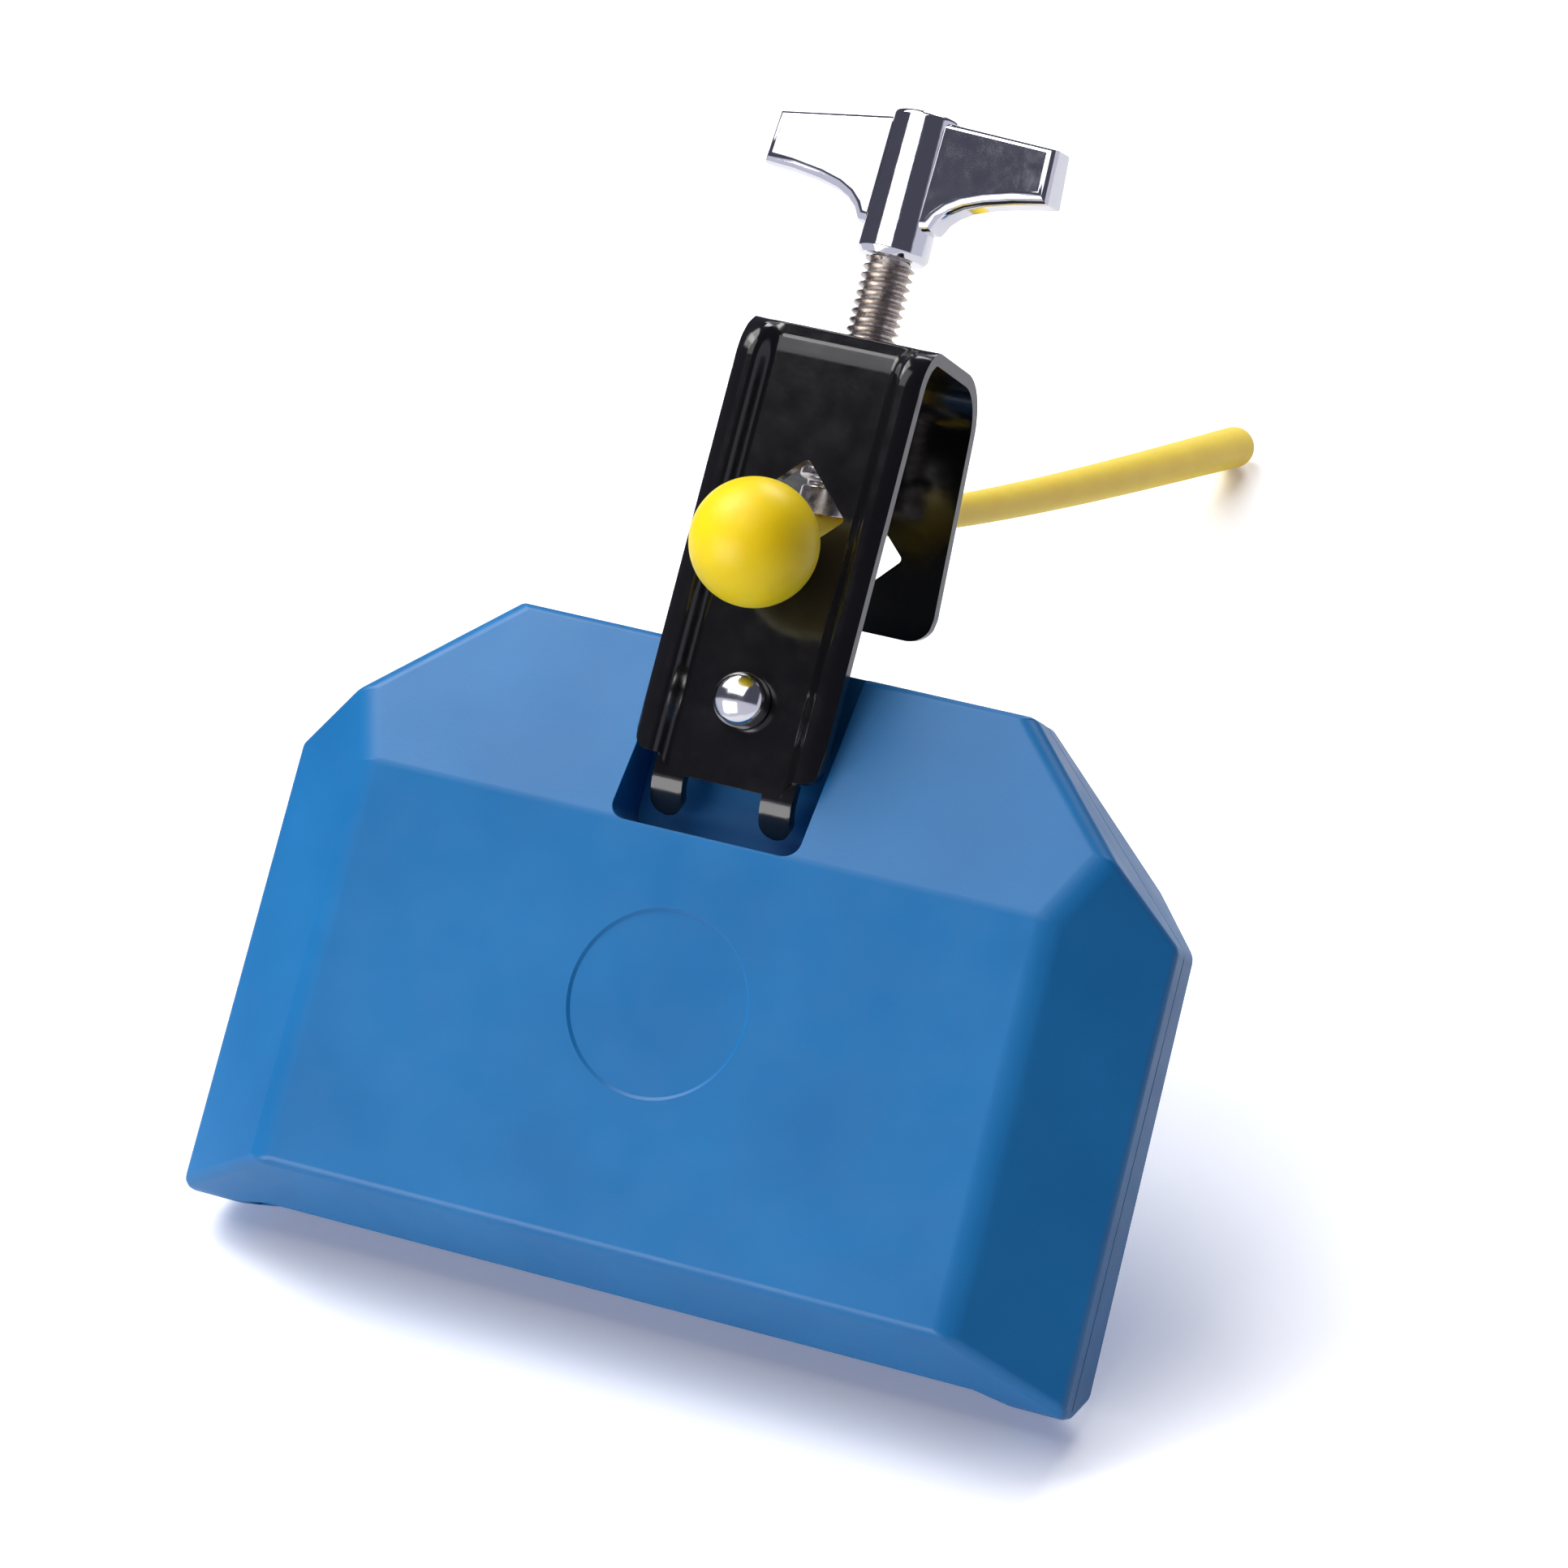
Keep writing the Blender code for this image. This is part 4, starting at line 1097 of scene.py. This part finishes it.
# %% Handle sizes
HANDLE_YAW = math.radians(-12.6)
HANDLE_TOP_H = BOSS_LOW_H + 21.6
HANDLE_LOW_H = BOSS_LOW_H - 1.0
HANDLE_BOSS_R = 5.6
BOSS_DRAFT = 0.4
BOSS_CHAMFER = 0.9
WING_MID_H = BOSS_LOW_H + 11.0
WING_HALF = 2.35
WING_FLARE = 0.032
WING_DRAFT = 0.036
TOP_ROUND = 0.9
TIP_ROUND = 1.4
LOW_ROUND = 1.8


# %% Build the handle
def wing_half(x, height):
    """Half the thickness of the wings at a place."""
    return WING_HALF + WING_FLARE * abs(x) - WING_DRAFT * (height - WING_MID_H)


def wing_shape():
    right = [
        (0.0, HANDLE_TOP_H - 0.35),
        (25.1, BOSS_LOW_H + 19.0),
        (25.6, BOSS_LOW_H + 10.5),
        (20.0, BOSS_LOW_H + 9.9),
        (15.0, BOSS_LOW_H + 9.0),
        (11.5, BOSS_LOW_H + 8.0),
        (9.3, BOSS_LOW_H + 6.9),
        (7.8, BOSS_LOW_H + 5.6),
        (6.7, BOSS_LOW_H + 3.8),
        (0.0, BOSS_LOW_H + 2.4),
    ]
    left = [(-x, height) for x, height in reversed(right[1:-1])]
    shape = slab_along_y(right + left, -1.0, 1.0)
    whole = list(shape.verts) + list(shape.edges) + list(shape.faces)
    bmesh.ops.bisect_plane(shape, geom=whole, dist=0.000001, plane_no=(1.0, 0.0, 0.0))
    for point in shape.verts:
        height = point.co.z / MM + ROD_HEIGHT
        point.co.y = point.co.y * wing_half(point.co.x / MM, height)
    return shape


def round_wings(target):
    """Weigh the edges of both flat sides, and leave the edges across them."""
    shape = bmesh.new()
    shape.from_mesh(target.data)
    weight = shape.edges.layers.float.new("bevel_weight_edge")
    for edge in shape.edges:
        first, second = (point.co for point in edge.verts)
        at_middle = max(abs(first.x), abs(second.x)) < 0.0001
        if at_middle or first.y * second.y < 0.0:
            continue
        at_tip = min(abs(first.x), abs(second.x)) > 0.025
        at_top = min(first.z, second.z) > up(BOSS_LOW_H + 18.0)
        width = LOW_ROUND
        if at_tip:
            width = TIP_ROUND
        elif at_top:
            width = TOP_ROUND
        edge[weight] = width / LOW_ROUND
    shape.to_mesh(target.data)
    shape.free()
    step = target.modifiers.new("cast radii", "BEVEL")
    step.width = LOW_ROUND * MM
    step.segments = 8
    step.limit_method = "WEIGHT"
    step.use_clamp_overlap = True
    keep_modifiers(target)


def handle_boss_shape():
    low_r = HANDLE_BOSS_R
    top_r = HANDLE_BOSS_R - BOSS_DRAFT
    crown = 0.8
    profile = [
        (0.0, HANDLE_LOW_H),
        (low_r - BOSS_CHAMFER * 0.7, HANDLE_LOW_H),
        (low_r - 0.12, HANDLE_LOW_H + BOSS_CHAMFER - 0.1),
        (low_r, HANDLE_LOW_H + BOSS_CHAMFER + 0.15),
    ]
    steps = 6
    for step in range(steps + 1):
        angle = math.radians(90.0) * step / steps
        radius = top_r - crown + crown * math.cos(angle)
        profile.append((radius, HANDLE_TOP_H - crown + crown * math.sin(angle)))
    profile.append((0.0, HANDLE_TOP_H))
    shape = turned_shape(profile)
    bmesh.ops.translate(shape, verts=shape.verts, vec=(0.0, 0.0, up(0.0)))
    return shape


handle = mesh_object("wing_casting", wing_shape())
round_wings(handle)
handle.data.transform(Matrix.Rotation(HANDLE_YAW, 4, "Z"))
cut_or_join(handle, handle_boss_shape(), "UNION")
bore = round_bar(spot(0.0, 0.0, STRAP_TOP_H), spot(0.0, 0.0, SPIGOT_TOP_H + GAP), SPIGOT_R + GAP)
cut_or_join(handle, bore, "DIFFERENCE")
finish_piece(handle, "wing_screw", "wing_handle", chrome, 35.0)

# %% [markdown]
# ## The mallet
# A plastic ball on a tapered stick. The clamp and the block's weight bow the
# stick a little, by less than two millimetres, and the photograph shows it. The
# stick is turned straight, and each ring of it is then lowered by a smooth bow
# that begins behind the clamp and ends at the tail.

# %% Mallet sizes
BALL_R = 9.75
STICK_LONG = 231.5
SOCKET_DEEP = 3.0
BOW_START = 38.0
BOW_DEEP = 1.7
BOW_SKEW = 0.75
ball_h = MALLET_MID_H - math.tan(MALLET_LEAN) * BALL_FRONT
ball_place = spot(0.0, -BALL_FRONT, ball_h)
mallet_turn = Matrix.Rotation(-(math.pi / 2.0 - MALLET_LEAN), 3, "X")


# %% Build the mallet
def bow(along):
    """How far the stick sags at a distance from the ball's middle."""
    share = (along - BOW_START) / (STICK_LONG - BOW_START)
    if share <= 0.0 or share >= 1.0:
        return 0.0
    return BOW_DEEP * math.sin(math.pi * share**BOW_SKEW)


def stick_shape():
    end_r = stick_radius(STICK_LONG)
    profile = [(0.0, -SOCKET_DEEP + GAP), (stick_radius(0.0), -SOCKET_DEEP + GAP)]
    steps = 60
    for step in range(1, steps + 1):
        along = STICK_LONG * step / steps
        profile.append((stick_radius(along), along))
    arc = 12
    for step in range(1, arc):
        angle = math.radians(90.0) * step / arc
        profile.append((end_r * math.cos(angle), STICK_LONG + end_r * math.sin(angle)))
    profile.append((0.0, STICK_LONG + end_r))
    shape = turned_shape(profile, 48)
    for point in shape.verts:
        point.co.y += bow(point.co.z / MM) * MM
    bmesh.ops.rotate(shape, verts=shape.verts, matrix=mallet_turn)
    bmesh.ops.translate(shape, verts=shape.verts, vec=ball_place)
    return shape


def ball_shape():
    shape = bmesh.new()
    bmesh.ops.create_uvsphere(shape, u_segments=96, v_segments=48, radius=BALL_R * MM)
    bmesh.ops.rotate(shape, verts=shape.verts, matrix=mallet_turn)
    bmesh.ops.translate(shape, verts=shape.verts, vec=ball_place)
    return shape


stick = mesh_object("yellow_stick", stick_shape())
finish_piece(stick, "mallet", "mallet_stick", stick_yellow, 60.0)
ball = mesh_object("yellow_ball", ball_shape())
finish_piece(ball, "mallet", "mallet_ball", yellow, 60.0)

# %% [markdown]
# ## The table
# The block leans back on its mallet: a plane through the rear face's lower edge
# and the mallet's tail is the table. It is a pale sheet, turned with the view
# so that its edges stay out of the picture. The camera sees it lifted to
# white, and shiny metal sees it pale, while it still takes the shadow. From
# beneath it isn't there, so that the block's back can be looked at.

# %% Table sizes
LEAN = math.radians(42.0)
TABLE_TURN = math.radians(29.0)
TABLE_LEFT = -0.14
TABLE_RIGHT = 0.6
TABLE_NEAR = -0.4
TABLE_FAR = 0.6
TABLE_TONE = 0.8
TABLE_WHITE = 1.3
TABLE_LIFT = (0.05, 0.055, 0.10)
contact = spot(0.0, FACE_Y, FACE_LOW_H)
table_up = Vector((0.0, -math.sin(LEAN), math.cos(LEAN)))
table_across = Vector((1.0, 0.0, 0.0))
table_along = table_up.cross(table_across)


# %% Table finish
def join_nodes(tree, kind, operation, first, second):
    """A maths node fed by two outputs."""
    made = tree.nodes.new(kind)
    made.operation = operation
    tree.links.new(first, made.inputs[0])
    tree.links.new(second, made.inputs[1])
    return made.outputs[0]


def seen_rays(tree):
    """Rays that the camera sends out, and rays that gloss or glass sends out."""
    path = tree.nodes.new("ShaderNodeLightPath")
    gloss = path.outputs["Is Glossy Ray"]
    glass = path.outputs["Is Transmission Ray"]
    shiny = join_nodes(tree, "ShaderNodeMath", "MAXIMUM", gloss, glass)
    return path.outputs["Is Camera Ray"], shiny


def table_material():
    made = bpy.data.materials.new("pale table")
    made.use_nodes = True
    tree = made.node_tree
    tree.nodes.remove(tree.nodes["Principled BSDF"])
    camera_ray, shiny = seen_rays(tree)
    seen = join_nodes(tree, "ShaderNodeMath", "MAXIMUM", camera_ray, shiny)
    tone = tree.nodes.new("ShaderNodeMapRange")
    tone.inputs["To Min"].default_value = TABLE_TONE
    tone.inputs["To Max"].default_value = TABLE_WHITE
    tree.links.new(camera_ray, tone.inputs["Value"])
    matt = tree.nodes.new("ShaderNodeBsdfDiffuse")
    tree.links.new(tone.outputs["Result"], matt.inputs["Color"])
    lift = tree.nodes.new("ShaderNodeEmission")
    lift.inputs["Color"].default_value = (*TABLE_LIFT, 1.0)
    tree.links.new(seen, lift.inputs["Strength"])
    both = tree.nodes.new("ShaderNodeAddShader")
    tree.links.new(matt.outputs[0], both.inputs[0])
    tree.links.new(lift.outputs[0], both.inputs[1])
    side = tree.nodes.new("ShaderNodeNewGeometry")
    clear = tree.nodes.new("ShaderNodeBsdfTransparent")
    choose = tree.nodes.new("ShaderNodeMixShader")
    tree.links.new(side.outputs["Backfacing"], choose.inputs["Fac"])
    tree.links.new(both.outputs[0], choose.inputs[1])
    tree.links.new(clear.outputs[0], choose.inputs[2])
    tree.links.new(choose.outputs[0], tree.nodes["Material Output"].inputs["Surface"])
    return made


# %% Lay the table
def table_shape():
    shape = bmesh.new()
    across = table_across * math.cos(TABLE_TURN) + table_along * math.sin(TABLE_TURN)
    along = table_up.cross(across)
    corner = contact - table_up * 0.0005
    corners = (
        (TABLE_LEFT, TABLE_NEAR),
        (TABLE_RIGHT, TABLE_NEAR),
        (TABLE_RIGHT, TABLE_FAR),
        (TABLE_LEFT, TABLE_FAR),
    )
    shape.faces.new([shape.verts.new(corner + across * u + along * v) for u, v in corners])
    return shape


table = mesh_object("table", table_shape())
if table.data.polygons[0].normal.dot(table_up) < 0.0:
    table.data.flip_normals()
table.data.materials.append(table_material())
print("table leans by", round(math.degrees(LEAN)), "degrees in the block's frame")

# %% [markdown]
# ## Light
# The shadows and the tones of the faces tell where the lamps stood. The key is
# a soft box high over the table, to the left and a little behind. A side lamp
# stands lower on the left, and one behind the block throws the short shadow
# under its lower edge. The front box, left of the camera, is what the wing
# handle mirrors: its left wing shows the box, while the right wing just misses
# it and stays dark. A low lamp in front fills the lip and the ball from
# beneath. The room itself is dim, but what shiny pieces see of it is pale
# below the horizon and behind the camera's right shoulder.

# %% Lamps
middle_of_block = Vector((0.0, 0.0, -0.05))


def on_table_sky(turn, height):
    """A direction from degrees round the table and degrees over it.

    Zero is toward the viewer's side, and negative turns go to the left.
    """
    turn = math.radians(turn)
    height = math.radians(height)
    level = table_across * math.sin(turn) - table_along * math.cos(turn)
    return level * math.cos(height) + table_up * math.sin(height)


def on_block_sky(turn, height):
    """The same, but round the upright block and over its own level."""
    turn = math.radians(turn)
    height = math.radians(height)
    level = Vector((math.sin(turn), -math.cos(turn), 0.0))
    return level * math.cos(height) + Vector((0.0, 0.0, math.sin(height)))


def soft_box(name, direction, distance, wide, tall, power, colour=(1.0, 1.0, 1.0)):
    data = bpy.data.lights.new(name, "AREA")
    data.shape = "RECTANGLE"
    data.size = wide
    data.size_y = tall
    data.energy = power
    data.color = colour
    lamp = bpy.data.objects.new(name, data)
    place = middle_of_block + direction * distance
    lamp.location = place
    lamp.rotation_euler = (middle_of_block - place).to_track_quat("-Z", "Y").to_euler()
    bpy.context.scene.collection.objects.link(lamp)
    print(f"{name}: {power} W, {wide} by {tall} m")
    return lamp


soft_box("key", on_table_sky(-118.0, 57.0), 1.5, 0.9, 0.9, 11.0, (1.0, 0.99, 0.97))
soft_box("side", on_table_sky(-98.0, 45.0), 1.5, 0.9, 0.7, 6.0, (1.0, 0.99, 0.97))
soft_box("back", on_table_sky(180.0, 32.0), 1.5, 0.6, 0.6, 8.5)
soft_box("front", on_block_sky(-18.2, 34.0), 1.2, 1.2, 0.9, 5.5, (0.97, 0.98, 1.0))
soft_box("low", on_block_sky(-30.0, -28.0), 1.5, 1.2, 0.9, 14.5, (1.0, 0.99, 0.98))


# %% Room
ROOM = (0.07, 0.07, 0.10)
SWEEP = (0.6, 0.6, 0.72)
SWEEP_TOWARD = (math.sin(math.radians(115.0)), -math.cos(math.radians(115.0)), 0.0)
SWEEP_EDGE = (0.71, 0.76)
FLOOR_EDGE = (-0.04, -0.12)


def room_world():
    """A dim room; shiny metal sees a pale wall behind it, the camera white."""
    world = bpy.data.worlds.new("room")
    world.use_nodes = True
    tree = world.node_tree
    room = tree.nodes["Background"]
    camera_ray, shiny = seen_rays(tree)
    way = tree.nodes.new("ShaderNodeTexCoord")
    turned = tree.nodes.new("ShaderNodeVectorMath")
    turned.operation = "DOT_PRODUCT"
    turned.inputs[1].default_value = SWEEP_TOWARD
    tree.links.new(way.outputs["Generated"], turned.inputs[0])
    edge = tree.nodes.new("ShaderNodeMapRange")
    edge.inputs["From Min"].default_value = SWEEP_EDGE[0]
    edge.inputs["From Max"].default_value = SWEEP_EDGE[1]
    tree.links.new(turned.outputs["Value"], edge.inputs["Value"])
    split = tree.nodes.new("ShaderNodeSeparateXYZ")
    tree.links.new(way.outputs["Generated"], split.inputs[0])
    under = tree.nodes.new("ShaderNodeMapRange")
    under.inputs["From Min"].default_value = FLOOR_EDGE[0]
    under.inputs["From Max"].default_value = FLOOR_EDGE[1]
    tree.links.new(split.outputs["Z"], under.inputs["Value"])
    pale = (edge.outputs["Result"], under.outputs["Result"])
    wall = join_nodes(tree, "ShaderNodeMath", "MAXIMUM", *pale)
    wall = join_nodes(tree, "ShaderNodeMath", "MULTIPLY", wall, shiny)
    tone = tree.nodes.new("ShaderNodeMix")
    tone.data_type = "RGBA"
    tone.inputs["A"].default_value = (*ROOM, 1.0)
    tone.inputs["B"].default_value = (*SWEEP, 1.0)
    tree.links.new(wall, tone.inputs["Factor"])
    tree.links.new(tone.outputs["Result"], room.inputs["Color"])
    backdrop = tree.nodes.new("ShaderNodeBackground")
    backdrop.inputs["Color"].default_value = (1.0, 1.0, 1.0, 1.0)
    choose = tree.nodes.new("ShaderNodeMixShader")
    tree.links.new(camera_ray, choose.inputs["Fac"])
    tree.links.new(room.outputs["Background"], choose.inputs[1])
    tree.links.new(backdrop.outputs["Background"], choose.inputs[2])
    tree.links.new(choose.outputs["Shader"], tree.nodes["World Output"].inputs["Surface"])
    return world


bpy.context.scene.world = room_world()

# %% [markdown]
# ## Camera
# The photograph was taken from about a metre away, to the right of the block
# and a little below its face, with the picture rolled. A long lens at that
# distance gives its flat perspective.

# %% Camera
camera_data = bpy.data.cameras.new("camera")
camera_data.sensor_width = 36.0
camera_data.lens = 149.07
camera_data.clip_end = 20.0
camera = bpy.data.objects.new("camera", camera_data)
camera.location = (0.33883, -0.91720, -0.11097)
camera.rotation_euler = [math.radians(angle) for angle in (94.308, -14.581, 18.936)]
bpy.context.scene.collection.objects.link(camera)
bpy.context.scene.camera = camera
bpy.context.scene.view_settings.view_transform = "Standard"
print("camera at", tuple(round(value, 3) for value in camera.location))
